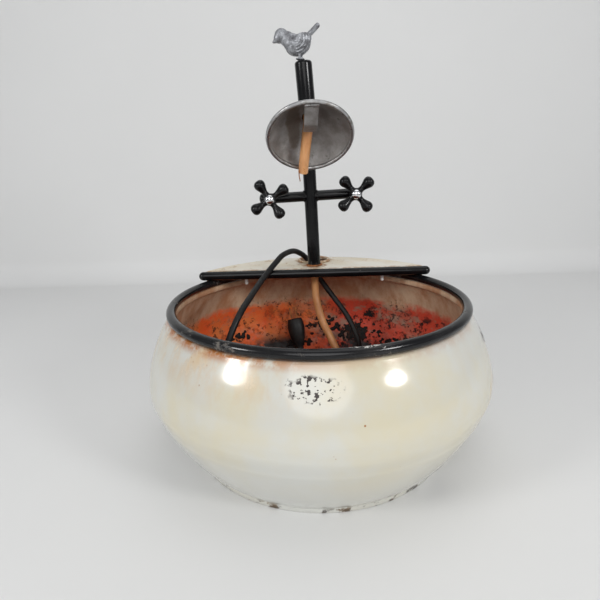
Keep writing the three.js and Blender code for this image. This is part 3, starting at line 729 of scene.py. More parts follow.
def make_lead():
    path = lead_path()
    lead = make_piece("mains_lead", sweep(path, CORD_RADIUS, 14), "black_rubber", None,
                      ["cord_over_lid", "cord_coil", "cord_to_plug"])
    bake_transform(lead)
    relief = make_strain_relief()
    plug = make_plug()


def box_facts(node):
    """A node's lowest corner, highest corner, half width in X and the centre of its foot."""
    low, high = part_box(node)
    return low, high, (high.x - low.x) / 2, ((low.x + high.x) / 2, (low.y + high.y) / 2)


def make_strain_relief():
    low, high, base, (x, y) = box_facts("cord_strain_relief")
    height = high.z - low.z
    profile = [(0, 0)]
    ribs = 6
    for i in range(ribs * 8 + 1):
        share = i / (ribs * 8)
        taper = base + (4 * MM - base) * min(1, 0.15 + share) ** 0.7
        rib = 0.45 * MM * math.cos(2 * math.pi * ribs * share)
        profile.append((min(base, taper + rib), height * share))
    profile.append((0, height))
    shape = placed(lathe(profile, 32), Matrix.Translation((x, y, low.z)))
    return make_piece("lead_strain_relief", shape, "black_rubber", ROOT, ["cord_strain_relief"])


def make_plug():
    """A flat moulded plug, waisted like a leaf, with a ribbed tail and two rusty blades."""
    outline = [(3.4, 0), (4.3, 0.8), (4.6, 4), (4.2, 6), (4.8, 8), (4.4, 10), (5.2, 12.5), (5.0, 14.5),
               (6.4, 18), (8.6, 24), (10.4, 31), (11.2, 38), (11.3, 43), (10.8, 48), (9.9, 52), (8.8, 53.6)]
    fine = catmull([Vector((r, z, 0)) * MM for r, z in outline], 5)
    profile = [(0, 0), *[(v.x, v.y) for v in fine], (0, 54 * MM)]
    flat = Matrix.Diagonal((1, 0.68, 1, 1))
    shape = placed(lathe(profile, 48), along(PLUG_BASE, PLUG_AXIS) @ flat)
    pieces = [make_piece("mains_plug", shape, "black_rubber", ROOT, ["plug_body"])]
    for name in ("left", "right"):
        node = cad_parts[f"plug_{name}_prong"]
        dress(node, "rusty_steel", 0.4 * MM)
        pieces.append(node)
    return pieces


def dress(node, finish, bevel):
    """Gives a carried-over CAD node its material, merged faces, soft edges and smooth shading."""
    node.data.materials.clear()
    node.data.materials.append(MATERIALS[finish])
    weld = node.modifiers.new("weld", "WELD")
    weld.merge_threshold = 1e-6
    rounding = node.modifiers.new("rounding", "BEVEL")
    rounding.width = bevel
    rounding.segments = 2
    rounding.limit_method = "ANGLE"
    rounding.angle_limit = math.radians(35)
    smooth = node.modifiers.new("weighted", "WEIGHTED_NORMAL")
    smooth.keep_sharp = True


# ---------------------------------------------------------------- bowl

def bowl_outline():
    """The outside of the wall from the foot's top edge to the mouth."""
    foot, pull, crease = Vector((131.5, 5)), Vector((150, 22)), Vector((168.5, 62))
    lower = []
    for i in range(28):
        t = i / 28
        lower.append((foot * (1 - t) ** 2 + pull * (2 * t * (1 - t)) + crease * t * t) * MM)
    shoulder = [(173.2, 80), (169.8, 103), (160.8, 127), (149.2, BOWL_TOP / MM)]
    upper = catmull([v * MM for v in [crease, *map(Vector, shoulder)]], 12)
    return [(min(v.x, WIDEST), v.y) for v in [*lower, *upper]]


def bowl_profile():
    outer = bowl_outline()
    neck = RIM_RADIUS - 1.7 * MM
    inner = [(radius - SHEET, z) for radius, z in outer[1:-2]][::-1]
    under = [(radius, FLOOR_Z - SHEET) for radius in (0, 0.06, 0.11, 0.127)]
    foot = [(0.1281, 0.0006), (0.1286, 0), (0.1309, 0), (FOOT_RADIUS, 0.0006), (FOOT_RADIUS, 0.0040)]
    lip = [(0.0008, 0), (0, 0.001), (0, 0.003), (0, 0.0055), (0.0012, 0.0068)]
    collar = [(neck + out, BOWL_TOP - down) for out, down in lip]
    floor = [(FOOT_RADIUS - 0.002, FLOOR_Z + 0.0012), (FOOT_RADIUS - 0.005, FLOOR_Z)]
    floor += [(0.11 * (1 - i / 8), FLOOR_Z) for i in range(8)] + [(0, FLOOR_Z)]
    return [*under, *foot, *outer, *collar, *inner, *floor]


def make_bowl():
    profile = bowl_profile()
    verts, faces = lathe(profile, 176)
    ripple = roughened(verts, 0.05, 0.00035, 3.1)
    smooth = []
    for rest, moved in zip(verts, ripple):
        radius = math.hypot(rest.x, rest.y)
        share = min(1.0, max(0.0, rest.z - 0.008) / 0.02) * min(1.0, max(0.0, BOWL_TOP - rest.z) / 0.01)
        blended = rest.lerp(moved, share)
        too_wide = math.hypot(blended.x, blended.y) > WIDEST - 0.0001
        smooth.append(rest if too_wide or radius < 0.12 else blended)
    bowl = make_piece("enamel_bowl", (smooth, faces), "white_enamel", ROOT,
                      ["basin_base", "basin_lower_wall", "basin_shoulder"])
    bowl.data.materials.append(MATERIALS["rusty_inside"])
    for face in bowl.data.polygons:
        centre, normal = face.center, face.normal
        outward = normal.x * centre.x + normal.y * centre.y
        if centre.z > FLOOR_Z - 0.0005 and (outward < -1e-6 or (normal.z > 0.9 and centre.z < 0.02)):
            face.material_index = 1
    make_rim()


def make_rim():
    profile = []
    for i in range(28):
        angle = 2 * math.pi * i / 28
        profile.append((RIM_RADIUS + WIRE_RADIUS * math.cos(angle), RIM_Z + WIRE_RADIUS * math.sin(angle)))
    verts, faces = lathe(profile, 240)
    bumpy = []
    for v in verts:
        flat = Vector((v.x, v.y, 0)).normalized() * RIM_RADIUS
        core = Vector((flat.x, flat.y, RIM_Z))
        bumpy.append(core + (v - core) * (0.985 + 0.015 * noise.noise(v / 0.022)))
    make_piece("rim_roll", (bumpy, faces), "rim_enamel", ROOT, ["rim_bead"])


# ---------------------------------------------------------------- lid

LID_RADIUS = 0.152
LID_SHEET = 1.6 * MM
LID_FRONT_Y = 79.2 * MM
HOLE_CENTRE = Vector((1.5 * MM, 128 * MM))
HOLE_RADIUS = 18 * MM
POLE_FOOT = Vector((0.7 * MM, 97 * MM, LID_TOP))


def lid_ring(angle):
    """One cut through the lid: along its top from the front edge, round the skirt and back underneath."""
    rows_across = 14
    skirt = (LID_TOP - PLATE_LOW.z) / MM
    bend = [(2.6, 0.0), (1.5, 0.22), (0.7, 0.75), (0.2, 1.6), (0, 2.8), (0, 6.5), (0, skirt)]
    inner = [(1.6, skirt), (1.6, 6.5), (1.7, 3.0), (2.6, LID_SHEET / MM)]
    out = Vector((math.cos(angle), math.sin(angle), 0))
    plate_edge = out * (LID_RADIUS - 2.6 * MM)
    front = Vector((plate_edge.x, LID_FRONT_Y, 0))
    flat = [front.lerp(plate_edge, k / rows_across) for k in range(rows_across)]
    top = [v + Vector((0, 0, LID_TOP)) for v in flat]
    under = [v + Vector((0, 0, LID_TOP - LID_SHEET)) for v in flat[::-1]]
    edge = []
    for inset, drop in [*bend, *inner]:
        edge.append(out * (LID_RADIUS - inset * MM) + Vector((0, 0, LID_TOP - drop * MM)))
    return [*top, *edge, *under]


def make_lid():
    start = math.asin((LID_FRONT_Y + 0.002) / LID_RADIUS)
    columns = 120
    verts = []
    for i in range(columns + 1):
        ring = lid_ring(start + (math.pi - 2 * start) * i / columns)
        verts.extend(ring)
    section = len(ring)
    faces = skin(columns + 1, section)
    faces.append(list(range(section)))
    faces.append(list(range(columns * section, (columns + 1) * section)))
    hole = placed_rod(HOLE_RADIUS, LID_TOP - 0.01, LID_TOP + 0.01, HOLE_CENTRE, 96)
    pole = placed_rod(PIPE_RADIUS + 0.0003, LID_TOP - 0.01, LID_TOP + 0.01, POLE_FOOT.xy, 48)
    shape = cut_by((verts, faces), [hole, pole])
    make_piece("lid_sheet", shape, "cream_enamel", LID, ["lid_plate"], sharp_angle=CRISP)
    make_collar()
    make_lid_roll()
    make_pegs()


def placed_rod(radius, low, high, centre, segments):
    return lathe([(0, low), (radius, low), (radius, high), (0, high)], segments, (centre[0], centre[1]))


def make_collar():
    """The raised lip round the cable hole."""
    low, high, outer, _ = box_facts("cable_hole_collar")
    inner = HOLE_RADIUS - 1.4 * MM
    height = high.z - low.z
    middle, half = (inner + outer) / 2, (outer - inner) / 2
    profile = [(outer, low.z)]
    for i in range(13):
        angle = math.pi * i / 12
        profile.append((middle + half * math.cos(angle), low.z + height * (0.25 + 0.75 * math.sin(angle))))
    profile.append((inner, low.z))
    shape = lathe(profile, 96, tuple(HOLE_CENTRE))
    make_piece("cable_hole_lip", shape, "cream_enamel", LID, ["cable_hole_collar"])


def make_lid_roll():
    centre_y = (ROLL_LOW.y + ROLL_HIGH.y) / 2
    centre_z = (ROLL_LOW.z + ROLL_HIGH.z) / 2
    reach = ROLL_HIGH.x - ROLL_RADIUS
    line = [Vector((-reach + 2 * reach * i / 160, centre_y, centre_z)) for i in range(161)]
    verts, faces = sweep(*round_ends(line, ROLL_RADIUS), 32)
    dented = []
    for v in verts:
        core = Vector((v.x, centre_y, centre_z))
        dented.append(core + (v - core) * (0.975 + 0.025 * noise.noise(v / 0.014)))
    make_piece("lid_front_edge", (dented, faces), "black_enamel", LID, ["lid_front_roll"])


def make_pegs():
    for side in ("left", "right"):
        node = f"lid_{side}_locating_peg"
        low, high, radius, centre = box_facts(node)
        profile = [(0, low.z)]
        for i in range(9):
            angle = math.pi / 2 * i / 8
            profile.append((radius * math.sin(angle) if i else 0.0002, low.z + radius * (1 - math.cos(angle))))
        profile += [(radius, high.z - 0.0032), (radius * 0.8, high.z - 0.003), (radius * 0.8, high.z), (0, high.z)]
        make_piece(f"lid_{side}_peg", lathe(profile, 28, centre), "white_plastic", LID, [node], sharp_angle=CRISP)


# ---------------------------------------------------------------- tap stand

STAND_LEAN = math.radians(-1.95)
STAND = Matrix.Translation(POLE_FOOT) @ Matrix.Rotation(STAND_LEAN, 4, "Y")
CROSSBAR_HEIGHT = 82.7 * MM
CROSSBAR_RADIUS = 5.9 * MM
CROSSBAR_HALF = 60.5 * MM
ARM_Z = 360 * MM
POLE_TOP_Z = 336 * MM
ARM_CORNER = point(-5.9, 97, 360)
ARM_REAR = point(-6.2, 73, 360)
LEG_TOP = point(-9.3, -17, 368)
BALL_CENTRE = point(-6.5, -14.6, 330.4)
BALL_RADIUS = 9.5 * MM
LEG_AXIS = (LEG_TOP - BALL_CENTRE).normalized()
TAPS = {"left": (-47 * MM, 32), "right": (51 * MM, 40)}


def on_pole(z):
    return POLE_FOOT + Vector((math.tan(STAND_LEAN) * (z - LID_TOP), 0, z - LID_TOP))


def elbow_points(start, corner, end, steps):
    line = []
    for i in range(steps + 1):
        t = i / steps
        line.append(start * (1 - t) ** 2 + corner * (2 * t * (1 - t)) + end * t * t)
    return line


def arm_front():
    return BALL_CENTRE.lerp(LEG_TOP, (ARM_Z - BALL_CENTRE.z) / (LEG_TOP.z - BALL_CENTRE.z))


def make_pipes():
    front = arm_front()
    arm_direction = (front - ARM_REAR).normalized()
    low_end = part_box("pole_tube")[0].z + 0.3 * MM
    line = even([on_pole(low_end), on_pole(POLE_TOP_Z)], 6 * MM)[:-1]
    line += elbow_points(on_pole(POLE_TOP_Z), ARM_CORNER, ARM_REAR, 20)
    line += even([ARM_REAR, front - arm_direction * (PIPE_RADIUS - 0.6 * MM)], 6 * MM)[1:]
    make_piece("stand_pipe", sweep(line, PIPE_RADIUS, 40, bore=PIPE_BORE), "black_enamel", LID,
               ["pole_tube", "rear_elbow", "arm_tube"], sharp_angle=CRISP)
    weld_place = front - arm_direction * (PIPE_RADIUS + 0.3 * MM)
    bead = weld_bead(weld_place, arm_direction, PIPE_RADIUS - 0.4 * MM, 0.7 * MM)
    make_piece("arm_weld", bead, "black_enamel", LID)
    make_spout_leg()


def make_spout_leg():
    """The short upright tube in front, with its rounded cap."""
    low, high = 8.1 * MM, (LEG_TOP - BALL_CENTRE).length + 3.4 * MM
    corner = 2.6 * MM
    outline = [(0, high - 2 * MM), (PIPE_BORE, high - 2 * MM), (PIPE_BORE, low), (PIPE_RADIUS - 0.5 * MM, low),
               (PIPE_RADIUS, low + 0.5 * MM)]
    for i in range(9):
        angle = math.pi / 2 * i / 8
        outline.append((PIPE_RADIUS - corner * (1 - math.cos(angle)), high - corner + corner * math.sin(angle)))
    outline += [(PIPE_RADIUS * 0.3, high), (0, high)]
    make_piece("spout_leg", placed(lathe(outline, 40), along(BALL_CENTRE, LEG_AXIS)), "black_enamel", LID,
               ["spout_leg_tube", "spout_leg_cap"], sharp_angle=CRISP)


def weld_bead(centre, direction, radius, thickness):
    """A rippled ring of weld round a pipe joint."""
    segments, sides = 96, 12
    verts = []
    for i in range(segments):
        angle = 2 * math.pi * i / segments
        swell = thickness * (0.8 + 0.2 * math.sin(angle * 17))
        out = Vector((math.cos(angle), math.sin(angle), 0))
        for k in range(sides):
            turn = 2 * math.pi * k / sides
            verts.append(out * (radius + swell * math.cos(turn)) + Vector((0, 0, swell * math.sin(turn))))
    return placed((verts, skin(segments, sides, closed=True)), along(centre, direction))


def make_stand_fittings():
    hole = PIPE_RADIUS / MM + 0.2
    profile = [(hole, 0.4), (9.4, 0.4), (9.9, 0.8), (9.6, 1.4), (8.8, 1.9), (hole, 2.1)]
    verts, faces = placed(lathe(in_mm(profile), 64), STAND)
    uneven = roughened(verts, 0.004, 0.0002)
    make_piece("pole_foot_washer", (uneven, faces), "rusty_steel", LID, ["pole_top_washer"])
    dress(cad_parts["pole_lock_nut"], "rusty_steel", 0.6 * MM)
    make_crossbar()


def make_crossbar():
    """The bar with its blunt ends, and a weld on each side of the pole."""
    full = [Vector((-CROSSBAR_HALF + 2 * CROSSBAR_HALF * i / 60, 0, CROSSBAR_HEIGHT)) for i in range(61)]
    line = [p for p in full if abs(p.x) <= CROSSBAR_HALF - 3 * MM]
    straight = line[-1].x
    line, radii = round_ends(line, CROSSBAR_RADIUS)
    flatten = 3.4 * MM / CROSSBAR_RADIUS
    for p in line:
        end = max(-straight, min(straight, p.x))
        p.x = end + (p.x - end) * flatten
    make_piece("crossbar", placed(sweep(line, radii, 32), STAND), "black_enamel", LID,
               ["crossbar_left", "crossbar_right", "crossbar_left_cap", "crossbar_right_cap"])
    direction = STAND.to_3x3() @ Vector((1, 0, 0))
    for name, side in (("left", -1), ("right", 1)):
        centre = STAND @ Vector((side * (PIPE_RADIUS + 0.2 * MM), 0, CROSSBAR_HEIGHT))
        bead = weld_bead(centre, direction, CROSSBAR_RADIUS, 0.9 * MM)
        make_piece(f"crossbar_weld_{name}", bead, "black_enamel", LID)


def tap_place(side):
    """The tap's own frame: +Z out of the crossbar towards the front."""
    offset = TAPS[side][0]
    centre = Vector((offset, -CROSSBAR_RADIUS - 0.3 * MM, CROSSBAR_HEIGHT))
    return STAND @ Matrix.Translation(centre) @ Matrix.Rotation(math.pi / 2, 4, "X")


def make_tap(side):
    place = tap_place(side)
    body = f"{side}_tap"
    stem = [(0, -0.8), (4.6, -0.8), (4.2, 0.4), (3.9, 1.2), (3.9, 6.6), (3.6, 7), (0, 7)]
    make_piece(f"{side}_stem", placed(lathe(in_mm(stem), 32), place), "black_enamel", LID, [f"{side}_tap_stem"],
               sharp_angle=CRISP)
    washer = [(4.3, 3.4), (6.2, 3.4), (6.6, 3.8), (6.6, 4.8), (6.2, 5.2), (4.3, 5.2)]
    make_piece(f"{side}_washer", placed(lathe(in_mm(washer), 40), place), "black_rubber", LID,
               [f"{side}_tap_washer"], sharp_angle=CRISP)
    make_cross_handle(side, place, body)
    dome = [(0, 14.3), (5.0, 14.3), (5.4, 14.6), (5.4, 15.5)]
    for i in range(1, 11):
        angle = math.pi / 2 * i / 10
        dome.append((5.4 * math.cos(angle) if i < 10 else 0, 15.5 + 3.5 * math.sin(angle)))
    shape = placed(lathe(in_mm(dome), 40), place)
    make_piece(f"{side}_dome_screw", shape, "chrome", body, [f"{side}_handle_screw"])


def make_cross_handle(side, place, body):
    """Four round-ended lobes melted into a hub, as one casting."""
    hub = [(0, -3.4), (5.6, -3.4), (6.8, -2.4), (7.0, 0), (6.8, 2.4), (5.6, 3.4), (0, 3.4)]
    arm = [(4.6, 3), (3.7, 6.5), (3.4, 9.5), (4.5, 13), (6.1, 17), (6.5, 19.6), (5.7, 22.4), (3.4, 24.4)]
    smooth_arm = catmull([Vector((r, z, 0)) * MM for r, z in arm], 4)
    profile = [(0, 3 * MM), *[(v.x, v.y) for v in smooth_arm], (0, 24.9 * MM)]
    parts = [lathe(in_mm(hub), 32)]
    for quarter in range(4):
        angle = math.radians(TAPS[side][1] + 90 * quarter)
        turn = along(Vector((0, 0, 0)), Vector((math.cos(angle), math.sin(angle), 0)))
        parts.append(placed(lathe(profile, 28), turn))
    lift = Matrix.Translation((0, 0, 10.9 * MM))
    shape = placed(fused(f"{side}_handle", parts, 0.55 * MM, 5), place @ lift)
    make_piece(f"{side}_handle", shape, "black_enamel", body, [f"{side}_cross_handle"])


# ---------------------------------------------------------------- spout

CONE_CENTRE = point(-5.4, -37, 307.6)
CONE_RADIUS = 36.4 * MM
CONE_DEPTH = 26 * MM
CONE_TILT = math.radians(45.5)
CONE_YAW = math.radians(2.9)
SPOUT_OUT = Vector((math.sin(CONE_YAW) * math.cos(CONE_TILT), -math.cos(CONE_YAW) * math.cos(CONE_TILT),
                    -math.sin(CONE_TILT)))
SPOUT_UP = (Vector((0, 0, 1)) - SPOUT_OUT * SPOUT_OUT.z).normalized()
SPOUT_RIGHT = SPOUT_UP.cross(SPOUT_OUT)
SPOUT = Matrix.Translation(CONE_CENTRE) @ Matrix((SPOUT_RIGHT, SPOUT_UP, SPOUT_OUT)).transposed().to_4x4()


def at_spout(x, y, z):
    return SPOUT @ (Vector((x, y, z)) * MM)


def make_cone():
    back = [Vector(p + (0,)) * MM for p in [(5.3, -26), (10, -25.2), (19, -18.6), (28, -10.6), (35.9, -1.8)]]
    outer = [(v.x, v.y) for v in catmull(back, 10)]
    inner = [(max(5.3 * MM, radius - 0.35 * MM), z + 1.15 * MM) for radius, z in outer[::-1]]
    verts, faces = lathe([*outer, *inner], 128)
    make_piece("spout_cone", placed((roughened(verts, 0.02, 0.0002), faces), SPOUT), "grey_steel", LID,
               ["shower_cone"], sharp_angle=CRISP)
    ring = []
    for i in range(24):
        angle = 2 * math.pi * i / 24
        ring.append((CONE_RADIUS + 1.85 * MM * math.cos(angle), 1.85 * MM * math.sin(angle)))
    make_piece("spout_cone_rim", placed(lathe(ring, 160), SPOUT), "bright_rim_steel", LID, ["shower_cone_rim"])
    verts, faces = ellipsoid(BALL_CENTRE, (BALL_RADIUS, BALL_RADIUS, BALL_RADIUS), rings=32, segments=48)
    flat_back = SPOUT.inverted()
    kept = []
    for v in verts:
        local = flat_back @ v
        local.z = min(local.z, -CONE_DEPTH - 0.2 * MM)
        kept.append(SPOUT @ local)
    make_piece("spout_ball", (kept, faces), "black_enamel", LID, ["spout_ball_joint"])


def make_strap():
    """A bent flat strip, soldered under the cone's upper rim, that holds the hose."""
    spine = points((0, 33.9, -0.2), (0, 24, 0.4), (0, 15.5, 1.0), (0, 13.2, 0.6), (0, 8, -1.9), (0, 2.2, -4.7))
    line = even(catmull(spine, 6), 0.9 * MM)
    half, thickness = 5.7 * MM, 1.1 * MM
    last = len(line) - 1
    verts = []
    for i, p in enumerate(line):
        ahead = (line[min(i + 1, last)] - line[max(i - 1, 0)]).normalized()
        normal = Vector((1, 0, 0)).cross(ahead)
        reach = half - (1.6 * MM * max(0.0, 1 - (last - i) / 2.0) ** 2)
        for x, lift in [(-reach, -1), (-reach, 1), (reach, 1), (reach, -1)]:
            verts.append(p + Vector((x, 0, 0)) + normal * (lift * thickness / 2))
    faces = skin(len(line), 4)
    faces.append([0, 1, 2, 3])
    faces.append([4 * last, 4 * last + 1, 4 * last + 2, 4 * last + 3])
    strap = make_piece("hose_clip", placed((verts, faces), SPOUT), "grey_steel", LID, ["hose_strap"],
                       sharp_angle=CRISP)
    bevel = strap.modifiers.new("rounding", "BEVEL")
    bevel.width = 0.25 * MM
    bevel.segments = 2
    make_solder()


def make_solder():
    draw = random.Random(11)
    blobs = []
    for i in range(9):
        size = draw.uniform(1.0, 1.6) * MM
        centre = Vector(((-4.6 + 9.2 * i / 8) * MM, 33.2 * MM + draw.uniform(-0.6, 0.6) * MM, 0.5 * MM))
        blobs.append(ellipsoid(centre, (size * 1.2, size, size * 0.7), rings=8, segments=12))
    make_piece("strap_solder", placed(fused("solder", blobs, 0.3 * MM, 3), SPOUT), "bright_rim_steel", LID)


def hose_shape(line):
    return sweep(even(line, 2 * MM), HOSE_RADIUS, 24, bore=HOSE_BORE)


def make_hoses():
    """The amber hose: a stretch from the pump up to the underside of the lid, and the stretch that the pipes hold.
    """
    low_line = points((27, 66, 52.3), (27, 66, 57.3), (25, 68.5, 66), (18, 76, 81), (8.5, 86, 100), (2.4, 94, 124),
                      (1.1, 97, 142), (1, 97, 155.2))
    hose = make_piece("hose_from_pump", hose_shape(catmull(low_line, 8)), "amber_vinyl", None, ["hose_lower"],
                      sharp_angle=HOSE_CRISP)
    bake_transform(hose)

    front = arm_front()
    arm_direction = (front - ARM_REAR).normalized()
    ball_out = BALL_CENTRE + SPOUT_OUT * 7 * MM
    line = [on_pole(155.7 * MM), on_pole(POLE_TOP_Z)]
    line += elbow_points(on_pole(POLE_TOP_Z), ARM_CORNER, ARM_REAR, 16)[1:]
    line += elbow_points(front - arm_direction * 8 * MM, front, front - LEG_AXIS * 8 * MM, 10)
    line += elbow_points(BALL_CENTRE + LEG_AXIS * 8 * MM, BALL_CENTRE, ball_out, 8)
    tip = [at_spout(*place) for place in
           [(0, -0.4, -19), (-1.4, -4, -11), (-3, -13, -3.5), (-4.4, -23, 2.8), (-5.4, -34, 7.4)]]
    line += catmull([ball_out, *tip], 8)[1:]
    make_piece("hose_to_spout", hose_shape(line), "amber_vinyl", LID, ["hose_upper"], sharp_angle=HOSE_CRISP)
    start = at_spout(-9.0, -29, 6.5)
    wire = even(catmull([start, start + point(-0.4, -0.2, -6), start + point(0.5, 0, -12)], 6), 0.5 * MM)
    make_piece("hose_tie_wire", sweep(wire, 0.45 * MM, 10), "rusty_steel", LID)


# ---------------------------------------------------------------- bird

BIRD_Y = -18 * MM
PERCH_Z = LEG_TOP.z + 3.7 * MM


def bird_point(x, z, y=0.0):
    """A point in the bird's own side view: x to the right, z above the perch, y away from the viewer."""
    return Vector((x * MM, BIRD_Y + y * MM, PERCH_Z + z * MM))


def make_bird():
    """A small cast bird looking left: fused from simple forms, then its feathers are cut in."""
    tilt = Matrix.Rotation(-0.3, 3, "Y")
    level = Matrix.Identity(3)
    forms = [
        ((-13.4, 11.6), (11.1, 7.4, 8.5), tilt),
        ((-18.5, 13.6), (7.6, 6.6, 7.4), tilt),
        ((-22.4, 16.4), (6.6, 5.9, 6.1), level),
        ((-27.4, 19.2), (6.0, 5.6, 5.8), level),
        ((-29.6, 17.4), (4.6, 4.4, 4.2), level),
    ]
    parts = [ellipsoid(bird_point(*centre), [r * MM for r in radii], turn) for centre, radii, turn in forms]
    beak = [bird_point(-30.0, 17.0), bird_point(-33.0, 15.2), bird_point(-35.2, 13.9)]
    parts.append(sweep(beak, [3.2 * MM, 2.0 * MM, 0.6 * MM], 16))
    spine = [bird_point(-9.5, 15.2), bird_point(-4, 19.6), bird_point(0.5, 23.8), bird_point(3.2, 26.3)]
    verts, faces = sweep(*round_ends(even(spine, 1 * MM), 2.1 * MM), 20)
    parts.append(([widened(v) for v in verts], faces))
    for side in (-1, 1):
        parts.append(ellipsoid(bird_point(-10.6, 14.0, side * 6.4), (9.0 * MM, 2.1 * MM, 5.6 * MM), tilt))
        x, y = -11.4 + side * 0.8, side * 2.3
        parts.append(sweep([bird_point(x, 5, y), bird_point(x, 0.6, y)], 1.1 * MM, 12))
        for spread in (-0.5, 0, 0.5):
            toe_end = bird_point(x - 3.4, 0.6, y + spread * 2.6)
            parts.append(sweep([bird_point(x, 0.8, y), toe_end], [0.9 * MM, 0.55 * MM], 10))
    parts.append(placed_rod(3.4 * MM, PERCH_Z, PERCH_Z + 1.1 * MM, (-11.4 * MM, BIRD_Y), 24))
    verts, faces = fused("bird", parts, 0.36 * MM, 3)
    make_piece("perched_bird", ([carve_feathers(v) for v in verts], faces), "pewter", LID, ["bird_finial"])


def widened(v):
    """The tail is a little wider from side to side than it is thick."""
    return Vector((v.x, BIRD_Y + (v.y - BIRD_Y) * 1.3, v.z))


def carve_feathers(v):
    """Feather grooves in arcs round each shoulder, a ridged tail, eye sockets and a lightly hammered skin."""
    x, z, y = v.x / MM, (v.z - PERCH_Z) / MM, (v.y - BIRD_Y) / MM
    out = Vector((0, 1 if y > 0 else -1, 0))
    moved = v.copy()
    from_shoulder = math.hypot(x + 15.5, z - 15.0)
    if abs(y) > 2.5 and x > -15 and from_shoulder > 3.2 and x < -0.5:
        fade = min(1.0, (abs(y) - 2.5) / 2) * min(1.0, (from_shoulder - 3.2) / 1.5) * min(1.0, (-0.5 - x) / 2)
        moved -= out * (0.42 * fade * math.cos(from_shoulder * 2.9) * MM)
    rim = abs(from_shoulder - 3.0)
    if abs(y) > 3.5 and rim < 0.8:
        moved -= out * (0.4 * (1 - rim / 0.8) * MM)
    if x > -3.5 and z > 19:
        moved.z -= 0.30 * MM * math.exp(-(y / 0.9) ** 2)
    eye = math.hypot(x + 28.4, z - 20.2)
    if abs(y) > 2.8 and eye < 1.9:
        moved += out * (0.42 * math.cos(eye / 1.9 * 1.5 * math.pi) * MM)
    return moved + noise.noise_vector(v / (2.1 * MM)) * (0.10 * MM)


# ---------------------------------------------------------------- pump

def make_pump():
    bevels = {"pump_housing": 1.2, "pump_intake_cover": 0.5, "pump_outlet": 0.3, "pump_flow_dial": 0.3}
    for name, bevel in bevels.items():
        dress(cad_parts[name], "black_plastic", bevel * MM)
    dress(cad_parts["pump_impeller"], "magnet", 0.25 * MM)
    dress(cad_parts["pump_shaft"], "ceramic", 0.2 * MM)
    low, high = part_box("pump_housing")
    ribs = []
    for i in range(5):
        x = low.x + (high.x - low.x) * (0.50 + 0.09 * i)
        line = even([Vector((x, low.y + 4 * MM, high.z)), Vector((x, high.y - 12 * MM, high.z))], 2 * MM)
        ribs.append(sweep(*round_ends(line, 0.9 * MM), 12))
    make_piece("pump_top_ribs", gather(ribs), "black_plastic")
    for end in ("front", "rear"):
        for side in ("left", "right"):
            make_suction_cup(f"{end}_{side}_suction_cup")


def make_suction_cup(node):
    low, high, base, centre = box_facts(node)
    outline = [(0, 0.45), (0.5, 0.28), (0.86, 0.04), (0.97, 0.0), (1.0, 0.05), (0.86, 0.24), (0.58, 0.5),
               (0.40, 0.72), (0.38, 0.98), (0, 1.0)]
    profile = [(radius * base, low.z + share * (high.z - low.z)) for radius, share in outline]
    make_piece(f"{node}_soft", lathe(profile, 40, centre), "black_rubber", ROOT, [node])


# ---------------------------------------------------------------- crust in the bowl

# centre, width, height, half the number of lumps
CRUST_PATCHES = [
    (point(14, 150, 66), 20, 9, 26),
    (point(50, 138, 58), 34, 15, 60),
    (point(-84, 116, 64), 14, 5, 10),
    (point(96, 108, 50), 26, 9, 24),
    (point(-20, 146, 44), 30, 6, 20),
]


def wall_radius(z):
    outline = bowl_outline()
    for (low_radius, low_z), (high_radius, high_z) in zip(outline, outline[1:]):
        if low_z <= z <= high_z:
            share = (z - low_z) / max(1e-9, high_z - low_z)
            return low_radius + (high_radius - low_radius) * share - SHEET
    return outline[0][0] - SHEET


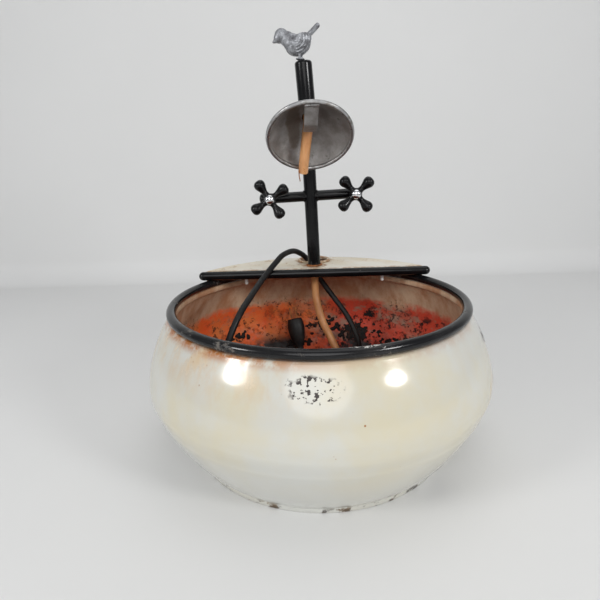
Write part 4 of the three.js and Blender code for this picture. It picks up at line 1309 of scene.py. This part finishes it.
def make_crust():
    """Dried black scale: flat lumps stuck to the rear wall."""
    draw = random.Random(5)
    parts = []
    for centre, width, height, count in CRUST_PATCHES:
        for _ in range(count * 2):
            angle = math.atan2(centre.y, centre.x) + draw.gauss(0, 0.45) * width / 150
            z = centre.z + draw.gauss(0, 0.5) * height * MM
            radius = wall_radius(max(0.012, z)) - 0.6 * MM
            place = Vector((radius * math.cos(angle), radius * math.sin(angle), max(0.012, z)))
            size = draw.uniform(1.1, 3.4) * MM
            turn = Matrix.Rotation(angle, 3, "Z") @ Matrix.Rotation(draw.uniform(-0.4, 0.4), 3, "Y")
            parts.append(ellipsoid(place, (1.3 * MM, size, size * 0.8), turn, 8, 12))
    verts, faces = fused("crust", parts, 0.9 * MM, 1)
    capped = []
    for smooth in verts:
        coarse = noise.noise_vector(smooth / (2.6 * MM)) * (0.9 * MM)
        v = smooth + coarse + noise.noise_vector(smooth / MM) * (0.4 * MM)
        limit = wall_radius(max(0.008, v.z)) - 0.1 * MM
        radius = math.hypot(v.x, v.y)
        scale = min(1.0, limit / radius)
        capped.append(Vector((v.x * scale, v.y * scale, v.z)))
    make_piece("dried_scale", (capped, faces), "crust", ROOT)


# ---------------------------------------------------------------- floor and light

# ---------------------------------------------------------------- floor and light

def make_stage():
    width, front, back, height, bend = 9.0, -9.0, 0.75, 6.0, 0.06
    profile = [(front, 0.0), (back - bend, 0.0)]
    for i in range(1, 13):
        angle = math.pi / 2 * i / 12
        profile.append((back - bend + bend * math.sin(angle), bend * (1 - math.cos(angle))))
    profile.append((back, height))
    verts = [(side * width, y, z - 0.0001) for y, z in profile for side in (-1, 1)]
    faces = [(2 * i, 2 * i + 1, 2 * i + 3, 2 * i + 2) for i in range(len(profile) - 1)]
    floor = new_object("floor", (verts, faces))
    smooth_all(floor.data)
    s = Surface("floor_paper")
    floor.data.materials.append(s.done(s.mix(s.noise(3, 3), (0.71, 0.71, 0.70), (0.75, 0.75, 0.74)), 0.6))


def make_lights():
    aims = {
        "key_left": (Vector((-1.01, -0.65, 0.67)), 0.34, 4.8),
        "key_right": (Vector((0.89, -0.83, 0.65)), 0.30, 5.4),
        "top": (Vector((0.2, 0.1, 1.7)), 1.4, 5),
        "fill": (Vector((-0.1, -2.0, 1.15)), 1.6, 15),
    }
    target = Vector((0, 0, 0.15))
    for name, (place, size, power) in aims.items():
        data = bpy.data.lights.new(name, "AREA")
        data.shape = "DISK"
        data.size = size
        data.energy = power
        light = bpy.data.objects.new(name, data)
        light.location = place
        light.rotation_mode = "QUATERNION"
        light.rotation_quaternion = (target - place).to_track_quat("-Z", "Y")
        bpy.context.scene.collection.objects.link(light)
    bpy.context.scene.view_settings.view_transform = "Standard"
    world = bpy.data.worlds.new("studio")
    world.use_nodes = True
    background = world.node_tree.nodes["Background"]
    background.inputs["Color"].default_value = (0.93, 0.95, 1.0, 1)
    background.inputs["Strength"].default_value = 0.33
    bpy.context.scene.world = world


make_camera()
make_lead()
make_bowl()
make_lid()
make_pipes()
make_stand_fittings()
make_tap("left")
make_tap("right")
make_cone()
make_strap()
make_hoses()
make_bird()
make_pump()
make_crust()
make_stage()
make_lights()
